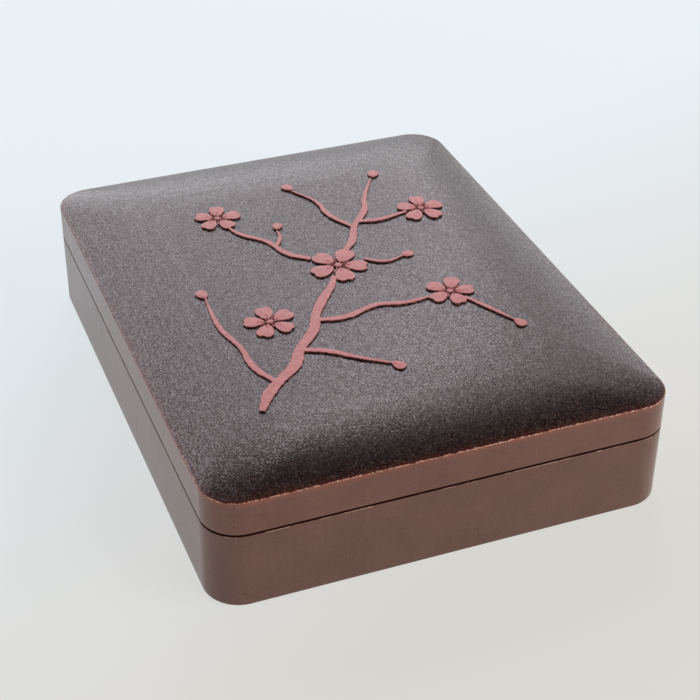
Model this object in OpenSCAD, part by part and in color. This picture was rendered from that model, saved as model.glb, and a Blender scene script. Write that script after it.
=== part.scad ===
// Writing box for an ink stick and an ink stone.
// A lacquered wooden box with rounded corners and a flush, crowned lid that lifts off.
// Inside lie a board with the ink stone, a water dropper and an ink stick, and a tray with two brushes.
// Millimetres. The origin is in the middle of the foot, +Z is up and +Y points to the back edge.

/* [Box] */
// Outside width, left to right
box_w = 187.5; // [186:0.5:200]
// Outside length, front to back
box_l = 240; // [239:1:250]
// Height of the lower box, up to the joint with the lid
rim_z = 33; // [33:0.5:40]
// Radius of the rounded corners in plan
corner_r = 14.5; // [14:0.5:18]
// Thickness of the side boards
wall_t = 6.5; // [6:0.25:6.75]
// Thickness of the floor board
floor_t = 5; // [4:0.25:6]
// Radius that the foot of the side boards is rounded to
foot_r = 1; // [0.5:0.25:3]
// Thickness of the lip strips that locate the lid
lip_t = 2.2; // [1.8:0.1:2.4]
// Height that the lip strips stand above the joint
lip_h = 4.5; // [3:0.25:5.5]

/* [Lid] */
// Height of the lid's sides, from the joint to the ridge
lid_side_h = 15.5; // [14:0.5:20]
// Height of the crown above the ridge
crown_h = 5.5; // [2:0.25:8]
// Width of the sloping band of the crown, in from the ridge
crown_band = 56; // [40:1:70]
// How fast the crown flattens towards its middle
crown_power = 3; // [1.5:0.1:4]
// Height of the raised ornament above the crown
relief_h = 0.8; // [0.4:0.1:1.5]

/* [Contents] */
// Width of the brush tray
tray_w = 50; // [48:1:52]
// Height of the brush tray
tray_h = 16; // [14:0.5:18]
// Length of the ink stone
stone_l = 135; // [125:1:136]
// Width of the ink stone
stone_w = 75; // [60:1:80]
// Thickness of the ink stone
stone_h = 20; // [17:0.5:20]
// Length of the ink stick
stick_l = 75; // [50:1:80]
// Diameter of the water dropper
dropper_d = 36; // [30:1:36]

/* [Hidden] */
$fn = 48;

brown = "#6b4f47";
dark_brown = "#4a3a38";
red = "#c77b78";
black = "#2a2523";
bamboo = "#c9a86a";
horn = "#3a2a20";
brass = "#b08d4c";
slate = "#3b3d40";
hair = "#e8e0cf";

// Box
edge_c = 0.5;                        // chamfer on both edges of the joint, which shows as a dark line
foot_reveal = 1;                     // the floor board stands this far above the table
groove_d = 2.5;                      // depth of the groove that holds the floor board
groove_gap = 0.2;                    // room for the board to swell in its groove
floor_z = foot_reveal + floor_t;     // top of the floor board
lip_z = rim_z + lip_h;
lip_in = wall_t + lip_t;             // the lip's inner face, in from the outside
inner_w = box_w - 2 * lip_in;
inner_l = box_l - 2 * lip_in;

// Lid
ridge_z = rim_z + lid_side_h;
panel_edge = 0.8;                    // upright edge of the crowned panel, over the rails
seat_z = ridge_z - panel_edge;
tongue_h = 3.2;                      // depth of the panel's tongue between the rails
ceiling_z = seat_z - tongue_h;
lid_gap = 0.3;                       // between the rails and the lip
rail_t = wall_t - lid_gap;
tongue_gap = 0.15;                   // between the tongue and the rails
tongue_in = rail_t + tongue_gap;
crown_r = 30;                        // corner radius of the crown's flat middle
crown_steps = 10;
corner_steps = 8;

// Layout of the contents, from the left
fit_gap = 0.7;                       // around the tray and the board
piece_r = corner_r - lip_in;         // corner radius of the tray and the board
piece_l = inner_l - 2 * fit_gap;
tray_x = -inner_w / 2 + fit_gap + tray_w / 2;
board_w = inner_w - 3 * fit_gap - tray_w;
board_x = inner_w / 2 - fit_gap - board_w / 2;

// Tray
tray_t = 3;
tray_floor_t = 2.5;
tray_top = floor_z + tray_h;
tray_in_z = floor_z + tray_floor_t;
tray_in_w = tray_w - 2 * tray_t;
scoop_r = 11;
scoop_up = 2;                        // the scoop's centre, above the tray's edge
rest_t = 5;
rest_y = 62;
brush_up = 8.6;                      // height of the brushes' axes over the tray's floor
brush_z = tray_in_z + brush_up;
brush_dx = 10.5;                     // distance of each axis from the tray's middle
rest_gap = 0.3;

// Board, with its sunk places
plate_t = 4;
well_z = floor_z + plate_t;
board_top_z = well_z + plate_t;
well_gap = 0.7;
front_margin = 8;
stone_y = -piece_l / 2 + front_margin + well_gap + stone_l / 2;
stone_r = 4;
grip_r = 9;                          // finger scoops beside the stone
stick_w = 19;
stick_h = 9;
stick_r = 2;
stick_y = piece_l / 2 - front_margin - stick_w / 2;
dropper_y = (stone_y + stone_l / 2 + stick_y - stick_w / 2) / 2;

// Ink stone
stone_z = well_z + stone_h;
stone_rim = 6;
land_d = 1.2;                        // the grinding face lies this far below the rim
sea_r = 34;
sea_d = 8;                           // depth of the ink pool
sea_back = 12;                       // from the back rim to the pool's deepest line
sea_y = stone_y + stone_l / 2 - stone_rim - sea_back;

// ---- shared shapes ----

// A plan with rounded corners, made of true arcs.
module rounded_plan(w, l, r) {
    square([w - 2 * r, l], center = true);
    square([w, l - 2 * r], center = true);
    for (sx = [-1, 1], sy = [-1, 1])
        translate([sx * (w / 2 - r), sy * (l / 2 - r)]) circle(r);
}

module rounded_plate(w, l, r, z0, z1, x = 0, y = 0) {
    translate([x, y, z0]) linear_extrude(z1 - z0) rounded_plan(w, l, r);
}

// A side board of the given section, with half of a rounded corner at each end.
// The section's x is the depth in from the outer face and its y is the height.
module side_board(section, run) {
    rotate([90, 0, 90]) translate([0, 0, -run / 2]) linear_extrude(run) polygon(section);
    swept = [for (p = section) [corner_r - p[0], p[1]]];
    for (side = [0, 1])
        mirror([side, 0, 0]) translate([run / 2, corner_r, 0]) rotate([0, 0, 270])
            rotate_extrude(angle = 45) polygon(swept);
}

module front_board(section) {
    translate([0, -box_l / 2, 0]) side_board(section, box_w - 2 * corner_r);
}

module right_board(section) {
    translate([box_w / 2, 0, 0]) rotate([0, 0, 90]) side_board(section, box_l - 2 * corner_r);
}

// ---- lower box ----

wall_section = concat(
    [for (a = [0 : 18 : 90]) [foot_r * (1 - sin(a)), foot_r * (1 - cos(a))]],
    [
        [0, rim_z - edge_c], [edge_c, rim_z], [wall_t, rim_z],
        [wall_t, floor_z], [wall_t - groove_d, floor_z],
        [wall_t - groove_d, foot_reveal], [wall_t, foot_reveal], [wall_t, 0]
    ]
);

lip_section = [
    [wall_t, floor_z], [lip_in, floor_z],
    [lip_in, lip_z - edge_c], [lip_in - edge_c, lip_z],
    [wall_t + edge_c, lip_z], [wall_t, lip_z - edge_c]
];

module wall_front() { color(brown) front_board(wall_section); }
module wall_back() { color(brown) rotate([0, 0, 180]) front_board(wall_section); }
module wall_right() { color(brown) right_board(wall_section); }
module wall_left() { color(brown) rotate([0, 0, 180]) right_board(wall_section); }

module lip_front() { color(black) front_board(lip_section); }
module lip_back() { color(black) rotate([0, 0, 180]) front_board(lip_section); }
module lip_right() { color(black) right_board(lip_section); }
module lip_left() { color(black) rotate([0, 0, 180]) right_board(lip_section); }

module floor_board() {
    inset = wall_t - groove_d + groove_gap;
    color(black)
        rounded_plate(box_w - 2 * inset, box_l - 2 * inset, corner_r - inset, foot_reveal, floor_z);
}

// ---- lid ----

rail_section = [
    [0, rim_z + edge_c], [edge_c, rim_z], [rail_t, rim_z], [rail_t, seat_z], [0, seat_z]
];

module rail_front() { color(brown) front_board(rail_section); }
module rail_back() { color(brown) rotate([0, 0, 180]) front_board(rail_section); }
module rail_right() { color(brown) right_board(rail_section); }
module rail_left() { color(brown) rotate([0, 0, 180]) right_board(rail_section); }

// The crown's height over the ridge at share s of the way in across the sloping band.
function crown_rise(s) = crown_h * (1 - pow(1 - s, crown_power));
function crown_corner(s) = corner_r + (crown_r - corner_r) * s;

// One level outline of the lid, seen from above and taken anticlockwise.
function plan_ring(inset, r, z) = [
    for (c = [0 : 3], k = [0 : corner_steps])
        let (
            a = 90 * (c + k / corner_steps),
            sx = c == 0 || c == 3 ? 1 : -1,
            sy = c < 2 ? 1 : -1
        )
        [
            sx * (box_w / 2 - inset - r) + r * cos(a),
            sy * (box_l / 2 - inset - r) + r * sin(a),
            z
        ]
];

// A closed solid through level rings of equal count, from the lowest up.
module ring_stack(rings) {
    n = len(rings[0]);
    m = len(rings);
    low = m * n;
    points = concat(
        [for (ring = rings) each ring],
        [[0, 0, rings[0][0][2]], [0, 0, rings[m - 1][0][2]]]
    );
    faces = concat(
        [for (j = [0 : m - 2], i = [0 : n - 1])
            let (k = (i + 1) % n) [j * n + i, (j + 1) * n + i, (j + 1) * n + k]],
        [for (j = [0 : m - 2], i = [0 : n - 1])
            let (k = (i + 1) % n) [j * n + i, (j + 1) * n + k, j * n + k]],
        [for (i = [0 : n - 1]) [low, i, (i + 1) % n]],
        [for (i = [0 : n - 1]) [low + 1, (m - 1) * n + (i + 1) % n, (m - 1) * n + i]]
    );
    polyhedron(points, faces, convexity = 4);
}

module crown_panel() {
    tongue_r = corner_r - tongue_in;
    color(dark_brown) ring_stack(concat(
        [
            plan_ring(tongue_in, tongue_r, ceiling_z),
            plan_ring(tongue_in, tongue_r, seat_z),
            plan_ring(0, corner_r, seat_z)
        ],
        [for (k = [0 : crown_steps])
            let (s = pow(k / crown_steps, 1.3))
            plan_ring(crown_band * s, crown_corner(s), ridge_z + crown_rise(s))]
    ));
}

// ---- raised ornament: a plum branch with blossoms and buds ----

relief_sink = 0.5;                   // how deep the ornament is let into the crown

// Signed distance from a point to the crown's outline at share s.
function outline_distance(x, y, s) =
    let (
        r = crown_corner(s),
        qx = abs(x) - (box_w / 2 - crown_band * s - r),
        qy = abs(y) - (box_l / 2 - crown_band * s - r)
    )
    norm([max(qx, 0), max(qy, 0)]) + min(max(qx, qy), 0) - r;

// The share s of the outline that passes through a point, found by halving.
function crown_share(x, y, low = 0, high = 1, turns = 16) =
    outline_distance(x, y, 1) < 0 ? 1 :
    turns == 0 ? (low + high) / 2 :
    let (mid = (low + high) / 2)
    outline_distance(x, y, mid) < 0
        ? crown_share(x, y, mid, high, turns - 1)
        : crown_share(x, y, low, mid, turns - 1);

function crown_z(x, y) = ridge_z + crown_rise(crown_share(x, y));

// A solid with the given flat outline, raised on the crown. The outline is seen whole from its middle.
module raised_patch(outline) {
    n = len(outline);
    mid = [for (k = [0, 1]) [for (p = outline) p[k]] * [for (p = outline) 1] / n];
    flat = concat(outline, [mid]);
    points = concat(
        [for (p = flat) [p[0], p[1], crown_z(p[0], p[1]) - relief_sink]],
        [for (p = flat) [p[0], p[1], crown_z(p[0], p[1]) + relief_h]]
    );
    top = n + 1;
    faces = concat(
        [for (i = [0 : n - 1]) [n, i, (i + 1) % n]],
        [for (i = [0 : n - 1]) [top + n, top + (i + 1) % n, top + i]],
        [for (i = [0 : n - 1]) [i, top + i, top + (i + 1) % n]],
        [for (i = [0 : n - 1]) [i, top + (i + 1) % n, (i + 1) % n]]
    );
    polyhedron(points, faces, convexity = 4);
}

// A stroke's points [x, y, half width] with each bend cut to a softer one.
function eased(path) = concat(
    [path[0]],
    [for (i = [0 : len(path) - 2]) each [
        0.75 * path[i] + 0.25 * path[i + 1],
        0.25 * path[i] + 0.75 * path[i + 1]
    ]],
    [path[len(path) - 1]]
);

module raised_stroke(path) {
    n = len(path);
    along = [for (i = [0 : n - 1])
        let (d = path[min(i + 1, n - 1)] - path[max(i - 1, 0)], t = [d[0], d[1]]) t / norm(t)];
    left = [for (i = [0 : n - 1])
        [path[i][0] - along[i][1] * path[i][2], path[i][1] + along[i][0] * path[i][2]]];
    right = [for (i = [0 : n - 1])
        [path[i][0] + along[i][1] * path[i][2], path[i][1] - along[i][0] * path[i][2]]];
    flat = concat(left, right);
    points = concat(
        [for (p = flat) [p[0], p[1], crown_z(p[0], p[1]) - relief_sink]],
        [for (p = flat) [p[0], p[1], crown_z(p[0], p[1]) + relief_h]]
    );
    m = 2 * n;
    faces = concat(
        [for (i = [0 : n - 2]) each [
            [i, n + i, n + i + 1], [i, n + i + 1, i + 1],
            [m + i, m + n + i + 1, m + n + i], [m + i, m + i + 1, m + n + i + 1],
            [i, m + i + 1, m + i], [i, i + 1, m + i + 1],
            [n + i, m + n + i, m + n + i + 1], [n + i, m + n + i + 1, n + i + 1]
        ]],
        [[0, m, m + n], [0, m + n, n]],
        [[n - 1, m + 2 * n - 1, m + n - 1], [n - 1, 2 * n - 1, m + 2 * n - 1]]
    );
    polyhedron(points, faces, convexity = 6);
}

// A petal's outline, its broad end outwards. size is the petal's length.
function petal_outline(x, y, turn, size) = [
    for (k = [0 : 11])
        let (
            a = 30 * k,
            u = size * (0.5 + 0.5 * cos(a)),
            v = 0.5 * size * sin(a) * (0.76 + 0.24 * cos(a))
        )
        [x + u * cos(turn) - v * sin(turn), y + u * sin(turn) + v * cos(turn)]
];

heart_gap = 2.4;                     // from the middle of a blossom to its petals
heart_r = 1.4;

// Blossoms: [x, y, turn, petal length]
blossoms = [
    [3, 8, 50, 10.5], [-38, -23, 20, 9], [-33, 63, 75, 8.5], [55, 41, 10, 9], [39, -27, 60, 8.5]
];

// Buds: [x, y, turn, length]
buds = [
    [-57, 3, 100, 6.4], [45, 75, 60, 6.6], [6, 76, 105, 6.2], [-3, -66, -55, 6.2],
    [55, -55, -70, 6], [-12, 45, 60, 5.6], [31, 6, 10, 5.8]
];

// The bough and its twigs, each a list of [x, y, half width].
branches = [
    [[-60, -78, 1.6], [-54, -68, 2.6], [-46, -61, 1.9], [-38, -55, 2.7], [-34, -45, 1.8], [-24, -36, 2.4],
        [-19, -24, 1.7], [-13, -15, 2.2], [-5, -6, 1.3]],
    [[10, 18, 1.2], [17, 26, 1.9], [21, 37, 1.2], [31, 47, 1.6], [34, 58, 1.0], [44, 74, 0.5]],
    [[-49, -63, 1.0], [-55, -50, 1.5], [-54, -36, 1.0], [-59, -20, 1.2], [-57, 4, 0.4]],
    [[-6, 17, 1.1], [-15, 24, 1.5], [-18, 37, 1.0], [-28, 46, 1.2], [-31, 54, 0.6]],
    [[-17, 31, 0.8], [-12, 38, 1.0], [-12, 44, 0.4]],
    [[-20, -28, 1.2], [-8, -31, 1.6], [6, -25, 1.1], [18, -29, 1.3], [29, -28, 0.6]],
    [[45, -37, 0.8], [49, -44, 1.1], [55, -56, 0.4]],
    [[23, 40, 0.9], [33, 37, 1.3], [44, 40, 0.6]],
    [[-33, -46, 1.1], [-23, -50, 1.5], [-15, -58, 1.0], [-4, -65, 0.4]],
    [[21, 35, 0.9], [13, 50, 1.3], [14, 62, 0.8], [6, 75, 0.4]],
    [[15, 9, 0.7], [23, 3, 1.0], [32, 6, 0.4]]
];

module plum_relief() {
    color(red) {
        for (path = branches) raised_stroke(eased(path));
        for (b = blossoms) {
            for (k = [0 : 4])
                let (turn = b[2] + 72 * k)
                raised_patch(petal_outline(b[0] + heart_gap * cos(turn), b[1] + heart_gap * sin(turn),
                    turn, b[3]));
            raised_patch([for (a = [0 : 45 : 315]) [b[0] + heart_r * cos(a), b[1] + heart_r * sin(a)]]);
        }
        for (b = buds) raised_patch(petal_outline(b[0], b[1], b[2], b[3]));
    }
}

// ---- brush tray ----

module tray_part(z0, z1) {
    intersection() {
        rounded_plate(tray_w, piece_l, piece_r, z0, z1, tray_x);
        children();
    }
}

module tray_floor() {
    color(black) rounded_plate(tray_w, piece_l, piece_r, floor_z, tray_in_z, tray_x);
}

module tray_side(sx) {
    color(black) tray_part(tray_in_z, tray_top)
        translate([tray_x + sx * (tray_w - tray_t) / 2, 0, tray_in_z + tray_h / 2])
            cube([tray_t, piece_l, tray_h], center = true);
}

// An end of the tray, with a scoop for a finger.
module tray_end(sy) {
    color(black) tray_part(tray_in_z, tray_top) difference() {
        translate([tray_x, sy * (piece_l - tray_t) / 2, tray_in_z + tray_h / 2])
            cube([tray_in_w, tray_t, tray_h], center = true);
        translate([tray_x, sy * piece_l / 2, tray_top + scoop_up])
            rotate([90, 0, 0]) cylinder(r = scoop_r, h = 4 * tray_t, center = true);
    }
}

module tray_side_left() { tray_side(-1); }
module tray_side_right() { tray_side(1); }
module tray_end_front() { tray_end(-1); }
module tray_end_back() { tray_end(1); }

// A cross rest with a half-round seat under each brush.
module brush_rest(y, large_r, small_r) {
    color(black) difference() {
        translate([tray_x - tray_in_w / 2, y - rest_t / 2, tray_in_z])
            cube([tray_in_w, rest_t, brush_z - tray_in_z]);
        for (seat = [[-1, large_r], [1, small_r]])
            translate([tray_x + seat[0] * brush_dx, y, brush_z])
                rotate([90, 0, 0]) cylinder(r = seat[1] + rest_gap, h = 2 * rest_t, center = true);
    }
}

module rest_front() { brush_rest(-rest_y, large_r, small_r); }
module rest_back() { brush_rest(rest_y, large_cap_r, small_cap_r); }

// ---- brushes, lying along Y with their tips to the back ----

large_r = 4.7;
large_collar_r = 5.4;
large_cap_r = 7.1;
small_r = 3.1;
small_collar_r = 3.7;
small_cap_r = 5;
cap_gap = 0.35;                      // between a cap and the collar it slides over
cap_t = 2;                           // thickness of a cap's closed end
cap_clear = 6;                       // free depth inside a cap past the hair's tip
large_cap_back = 4;                  // how far a cap's mouth lies past the collar's start
small_cap_back = 3;

// Where each part of a brush starts and ends along Y.
large_y = [-98, -93, 35, 47, 87];    // end piece, handle, collar, free hair, tip
small_y = [-101, -97, 28, 37, 67];
collar_floor = 3;                    // solid part of the collar, against the handle
large_hair_r = 4.2;
small_hair_r = 2.7;
tuft_steps = 8;

module along_brush(side, y) {
    translate([tray_x + side * brush_dx, y, brush_z]) rotate([-90, 0, 0]) children();
}

module handle(side, y, r) {
    color(bamboo) along_brush(side, y[1]) cylinder(r = r, h = y[2] - y[1]);
}

// The rounded piece that closes the handle's end.
module end_piece(side, y, r) {
    h = y[1] - y[0];
    color(horn) along_brush(side, y[0]) rotate_extrude() polygon(concat(
        [[0, h]],
        [for (a = [0 : 15 : 90]) [r * (0.55 + 0.45 * cos(a)), h - h * sin(a)]],
        [[0, 0]]
    ));
}

module collar(side, y, r, hair_r) {
    h = y[3] - y[2];
    color(horn) along_brush(side, y[2]) difference() {
        cylinder(r = r, h = h);
        translate([0, 0, collar_floor]) cylinder(r = hair_r, h = h);
    }
}

// The hair: a root in the collar, a belly and a point.
module tuft(side, y, root_r) {
    root = y[3] - y[2] - collar_floor;
    free = y[4] - y[3];
    color(hair) along_brush(side, y[2] + collar_floor) rotate_extrude() polygon(concat(
        [[0, 0], [root_r, 0]],
        [for (k = [0 : tuft_steps])
            let (t = k / tuft_steps)
            [root_r * (1 + 0.55 * sin(180 * pow(t, 0.8)) * (1 - t)) * (1 - pow(t, 2.6)), root + free * t]]
    ));
}

module cap(side, y, start, r, collar_r) {
    depth = y[4] + cap_clear - y[2] - start;
    color(bamboo) along_brush(side, y[2] + start) difference() {
        cylinder(r = r, h = depth + cap_t);
        translate([0, 0, -1]) cylinder(r = collar_r + cap_gap, h = depth + 1);
    }
}

module large_handle() { handle(-1, large_y, large_r); }
module large_end() { end_piece(-1, large_y, large_r); }
module large_collar() { collar(-1, large_y, large_collar_r, large_hair_r); }
module large_tuft() { tuft(-1, large_y, large_hair_r); }
module large_cap() { cap(-1, large_y, large_cap_back, large_cap_r, large_collar_r); }
module small_handle() { handle(1, small_y, small_r); }
module small_end() { end_piece(1, small_y, small_r); }
module small_collar() { collar(1, small_y, small_collar_r, small_hair_r); }
module small_tuft() { tuft(1, small_y, small_hair_r); }
module small_cap() { cap(1, small_y, small_cap_back, small_cap_r, small_collar_r); }

// ---- stone board ----

module board_base() {
    color(black) rounded_plate(board_w, piece_l, piece_r, floor_z, well_z, board_x);
}

// The board's upper plate is cut through where the stone, dropper and stick sit.
module board_top() {
    color(black) translate([0, 0, well_z]) linear_extrude(plate_t) difference() {
        translate([board_x, 0]) rounded_plan(board_w, piece_l, piece_r);
        translate([board_x, stone_y]) {
            rounded_plan(stone_w + 2 * well_gap, stone_l + 2 * well_gap, stone_r);
            for (sx = [-1, 1]) translate([sx * (stone_w / 2 + well_gap), 0]) circle(grip_r);
        }
        translate([board_x, dropper_y]) circle(dropper_d / 2 + well_gap);
        translate([board_x, stick_y])
            rounded_plan(stick_l + 2 * well_gap, stick_w + 2 * well_gap, stick_r);
    }
}

// ---- ink stone ----

module ink_stone() {
    land_w = stone_w - 2 * stone_rim;
    land_l = stone_l - 2 * stone_rim;
    color(slate) difference() {
        rounded_plate(stone_w, stone_l, stone_r, well_z, stone_z, board_x, stone_y);
        rounded_plate(land_w, land_l, stone_r, stone_z - land_d, stone_z + 1, board_x, stone_y);
        intersection() {
            rounded_plate(land_w, land_l, stone_r, stone_z - sea_d - 1, stone_z + 1, board_x, stone_y);
            translate([board_x, sea_y, stone_z - sea_d + sea_r]) rotate([0, 90, 0])
                cylinder(r = sea_r, h = stone_w, center = true, $fn = 96);
        }
    }
}

// ---- ink stick ----

module ink_stick() {
    color(black) translate([board_x - stick_l / 2, stick_y, well_z + stick_h / 2])
        rotate([90, 0, 90]) linear_extrude(stick_l) rounded_plan(stick_w, stick_h, stick_r);
}

// ---- water dropper ----

dropper_h = 17;
dropper_t = 1;                       // thickness of its sheet metal
dropper_hole_r = 2.2;                // the hole in its top that a fingertip closes
shoulder_h = 7;                      // height of its rounded shoulder
spout_r = 2.6;
spout_bore_r = 1.6;
spout_l = 8;
spout_in = 3.2;                      // the spout's root, in from the dropper's side
spout_down = 6.2;                    // and down from its top
spout_tilt = 50;

// Half of the dropper's outline, drawn in by inset.
function dropper_outline(inset) = [
    for (a = [0 : 15 : 90])
        let (r = dropper_d / 2 - inset, h = dropper_h - inset)
        [
            dropper_hole_r + (r - dropper_hole_r) * pow(cos(a), 0.8),
            h - shoulder_h + shoulder_h * pow(sin(a), 1.1)
        ]
];

module dropper_base() {
    color(brass) translate([board_x, dropper_y, well_z]) cylinder(d = dropper_d, h = dropper_t);
}

module dropper_body() {
    outer = dropper_outline(0);
    inner = dropper_outline(dropper_t);
    color(brass) translate([board_x, dropper_y, well_z]) difference() {
        union() {
            rotate_extrude() polygon(concat(
                [[dropper_d / 2, dropper_t]], outer,
                [for (i = [len(inner) - 1 : -1 : 0]) inner[i]],
                [[dropper_d / 2 - dropper_t, dropper_t]]
            ));
            spout_place() cylinder(r = spout_r, h = spout_l);
        }
        spout_place() translate([0, 0, -1]) cylinder(r = spout_bore_r, h = spout_l + 2);
    }
}

module spout_place() {
    translate([dropper_d / 2 - spout_in, 0, dropper_h - spout_down])
        rotate([0, spout_tilt, 0]) children();
}

wall_front();
wall_back();
wall_left();
wall_right();
floor_board();
lip_front();
lip_back();
lip_left();
lip_right();
rail_front();
rail_back();
rail_left();
rail_right();
crown_panel();
plum_relief();
tray_floor();
tray_side_left();
tray_side_right();
tray_end_front();
tray_end_back();
rest_front();
rest_back();
board_base();
board_top();
ink_stone();
ink_stick();
dropper_base();
dropper_body();
large_handle();
large_end();
large_collar();
large_tuft();
large_cap();
small_handle();
small_end();
small_collar();
small_tuft();
small_cap();
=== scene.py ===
# %% [markdown]
# # A lacquered writing box
#
# The object is a low wooden box for writing with a brush. Its body and its lid are coated with brown
# lacquer, the lid's crowned top has a coat that is grained like stone, and a coral red branch stands up from
# it. Inside lie an ink stone, an ink stick, a water dropper and two brushes.
#
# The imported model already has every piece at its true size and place. This script gives each one its finish,
# and builds finer skins over those whose edges and surface show. Everything is in metres, +Z up.

import math
import random

import bpy
import bmesh
from mathutils import Matrix, Quaternion, Vector, noise
from mathutils.bvhtree import BVHTree


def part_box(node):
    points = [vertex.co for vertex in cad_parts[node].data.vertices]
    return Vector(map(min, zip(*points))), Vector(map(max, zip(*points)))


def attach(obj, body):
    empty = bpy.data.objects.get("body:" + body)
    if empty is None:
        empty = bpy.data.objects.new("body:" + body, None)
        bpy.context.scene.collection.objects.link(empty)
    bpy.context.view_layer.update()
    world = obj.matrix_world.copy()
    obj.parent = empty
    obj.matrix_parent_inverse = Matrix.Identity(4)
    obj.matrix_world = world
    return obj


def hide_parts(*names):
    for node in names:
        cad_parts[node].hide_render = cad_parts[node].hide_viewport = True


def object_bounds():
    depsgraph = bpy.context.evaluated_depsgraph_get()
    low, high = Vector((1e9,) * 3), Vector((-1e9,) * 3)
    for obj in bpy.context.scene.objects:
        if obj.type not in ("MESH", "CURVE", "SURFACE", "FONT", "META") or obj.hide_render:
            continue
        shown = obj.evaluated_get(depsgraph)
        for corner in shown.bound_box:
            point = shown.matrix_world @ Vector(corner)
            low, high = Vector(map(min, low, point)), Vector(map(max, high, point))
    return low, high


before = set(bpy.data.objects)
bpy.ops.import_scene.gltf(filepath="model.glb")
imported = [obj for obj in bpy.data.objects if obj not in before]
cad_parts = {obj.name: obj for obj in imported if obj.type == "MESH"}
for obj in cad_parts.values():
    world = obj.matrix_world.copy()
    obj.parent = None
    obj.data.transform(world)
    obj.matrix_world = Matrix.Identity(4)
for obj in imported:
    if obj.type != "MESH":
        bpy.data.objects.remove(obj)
MM = 0.001
cad_low, cad_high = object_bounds()
print("overall, mm:", [round(v / MM, 1) for v in cad_high - cad_low])

# %% [markdown]
# ## The sizes that the skins share
#
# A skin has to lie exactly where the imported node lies. Its sizes could all be typed in again, but then a
# change to the model would leave the skins behind, so most are read from the nodes' boxes. Only what a box
# can't tell is named here.

# %% Sizes
half_w, half_l = cad_high.x, cad_high.y
joint_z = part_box("wall_front")[1].z
seat_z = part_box("rail_front")[1].z
crown_top_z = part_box("crown_panel")[1].z
ceiling_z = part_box("crown_panel")[0].z
floor_top_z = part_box("floor_board")[1].z
lip_top_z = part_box("lip_front")[1].z

CORNER_R = 14.5 * MM    # rounded corners, seen from above
PANEL_EDGE = 0.8 * MM   # upright edge of the crowned panel, above the rails
CROWN_BAND = 56 * MM    # sloping band of the crown, in from the ridge
CROWN_POWER = 3         # how fast the crown flattens
CROWN_R = 30 * MM       # corners of the crown's flat middle
WALL_T = 6.5 * MM       # side boards of the box
LIP_IN = 8.7 * MM       # the lip's inner face, in from the outer side
RAIL_T = 6.2 * MM       # side boards of the lid
TONGUE_IN = 6.35 * MM   # the panel's tongue between the rails, in from the outer side
FOOT_R = 1 * MM         # rounding of the foot
TINY = 0.001 * MM       # less than any real step

ridge_z = seat_z + PANEL_EDGE
crown_h = crown_top_z - ridge_z
print("joint, ridge and crown heights, mm:", [round(z / MM, 2) for z in (joint_z, ridge_z, crown_top_z)])

# %% [markdown]
# ## The camera
#
# The photograph is taken from the front left, from about 34 degrees up, through a longish lens. A camera
# could be turned by a constraint that tracks a target. Here its three axes are written out as a matrix
# instead, which also holds the half degree by which the picture is turned. It looks at a point just in front
# of the box's middle.

# %% Camera
CAMERA_AZIMUTH = math.radians(-21.54)
CAMERA_ELEVATION = math.radians(34.48)
CAMERA_ROLL = math.radians(0.61)
CAMERA_DISTANCE = 0.7073
CAMERA_AIM = Vector((2.26, -8.37, 21.8)) * MM
LENS_MM = 85.5
SENSOR_MM = 36

back = Vector((
    math.sin(CAMERA_AZIMUTH) * math.cos(CAMERA_ELEVATION),
    -math.cos(CAMERA_AZIMUTH) * math.cos(CAMERA_ELEVATION),
    math.sin(CAMERA_ELEVATION),
))
right = Vector((0, 0, 1)).cross(back).normalized()
up = back.cross(right)
turned_right = math.cos(CAMERA_ROLL) * right + math.sin(CAMERA_ROLL) * up
turned_up = -math.sin(CAMERA_ROLL) * right + math.cos(CAMERA_ROLL) * up

scene = bpy.context.scene
camera = bpy.data.objects.new("camera", bpy.data.cameras.new("camera"))
camera.data.lens = LENS_MM
camera.data.sensor_width = SENSOR_MM
camera.data.clip_start, camera.data.clip_end = 0.01, 50
camera.matrix_world = Matrix((turned_right, turned_up, back)).transposed().to_4x4()
camera.location = CAMERA_AIM + back * CAMERA_DISTANCE
scene.collection.objects.link(camera)
scene.camera = camera
scene.view_settings.view_transform = "Standard"
print("camera at, m:", [round(v, 3) for v in camera.location])

# %% [markdown]
# ## A short way to write nodes
#
# A finish is a small graph of nodes. It could be drawn by hand in the shader editor, but a script can be
# read and run again. `add` makes one node, sets its properties, and fills its inputs: an input given a
# socket is linked to it, and one given a number or colour is set to it.

# %% Helpers for nodes
def fill(tree, node, inputs):
    """Links or sets the inputs of a node, which are given by name or by number."""
    for name, value in inputs.items():
        if isinstance(value, bpy.types.NodeSocket):
            tree.links.new(value, node.inputs[name])
        else:
            node.inputs[name].default_value = value


def add(tree, kind, inputs=None, **settings):
    node = tree.nodes.new(kind)
    for name, value in settings.items():
        setattr(node, name, value)
    fill(tree, node, inputs or {})
    return node


def remap(tree, value, low, high, to_low=0.0, to_high=1.0):
    """Turns the range from low to high into that from to_low to to_high, and stops at its ends."""
    return add(tree, "ShaderNodeMapRange", {
        "Value": value, "From Min": low, "From Max": high, "To Min": to_low, "To Max": to_high,
    }).outputs["Result"]


def blend(tree, factor, first, second):
    """Colour first where factor is 0 and second where it is 1."""
    return add(tree, "ShaderNodeMix", {0: factor, 6: first, 7: second}, data_type="RGBA").outputs[2]


def sums(tree, operation, first, second):
    return add(tree, "ShaderNodeMath", {0: first, 1: second}, operation=operation).outputs[0]


def vectors(tree, operation, first, second):
    return add(tree, "ShaderNodeVectorMath", {0: first, 1: second}, operation=operation).outputs


def rgb(red, green, blue):
    """A colour given as a screen shows it, 0 to 255, in the linear values that nodes take."""
    def linear(part):
        part /= 255
        return part / 12.92 if part <= 0.04045 else ((part + 0.055) / 1.055) ** 2.4

    return linear(red), linear(green), linear(blue), 1.0


print("a screen's mid grey, as nodes take it:", round(rgb(128, 128, 128)[0], 3))

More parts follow.
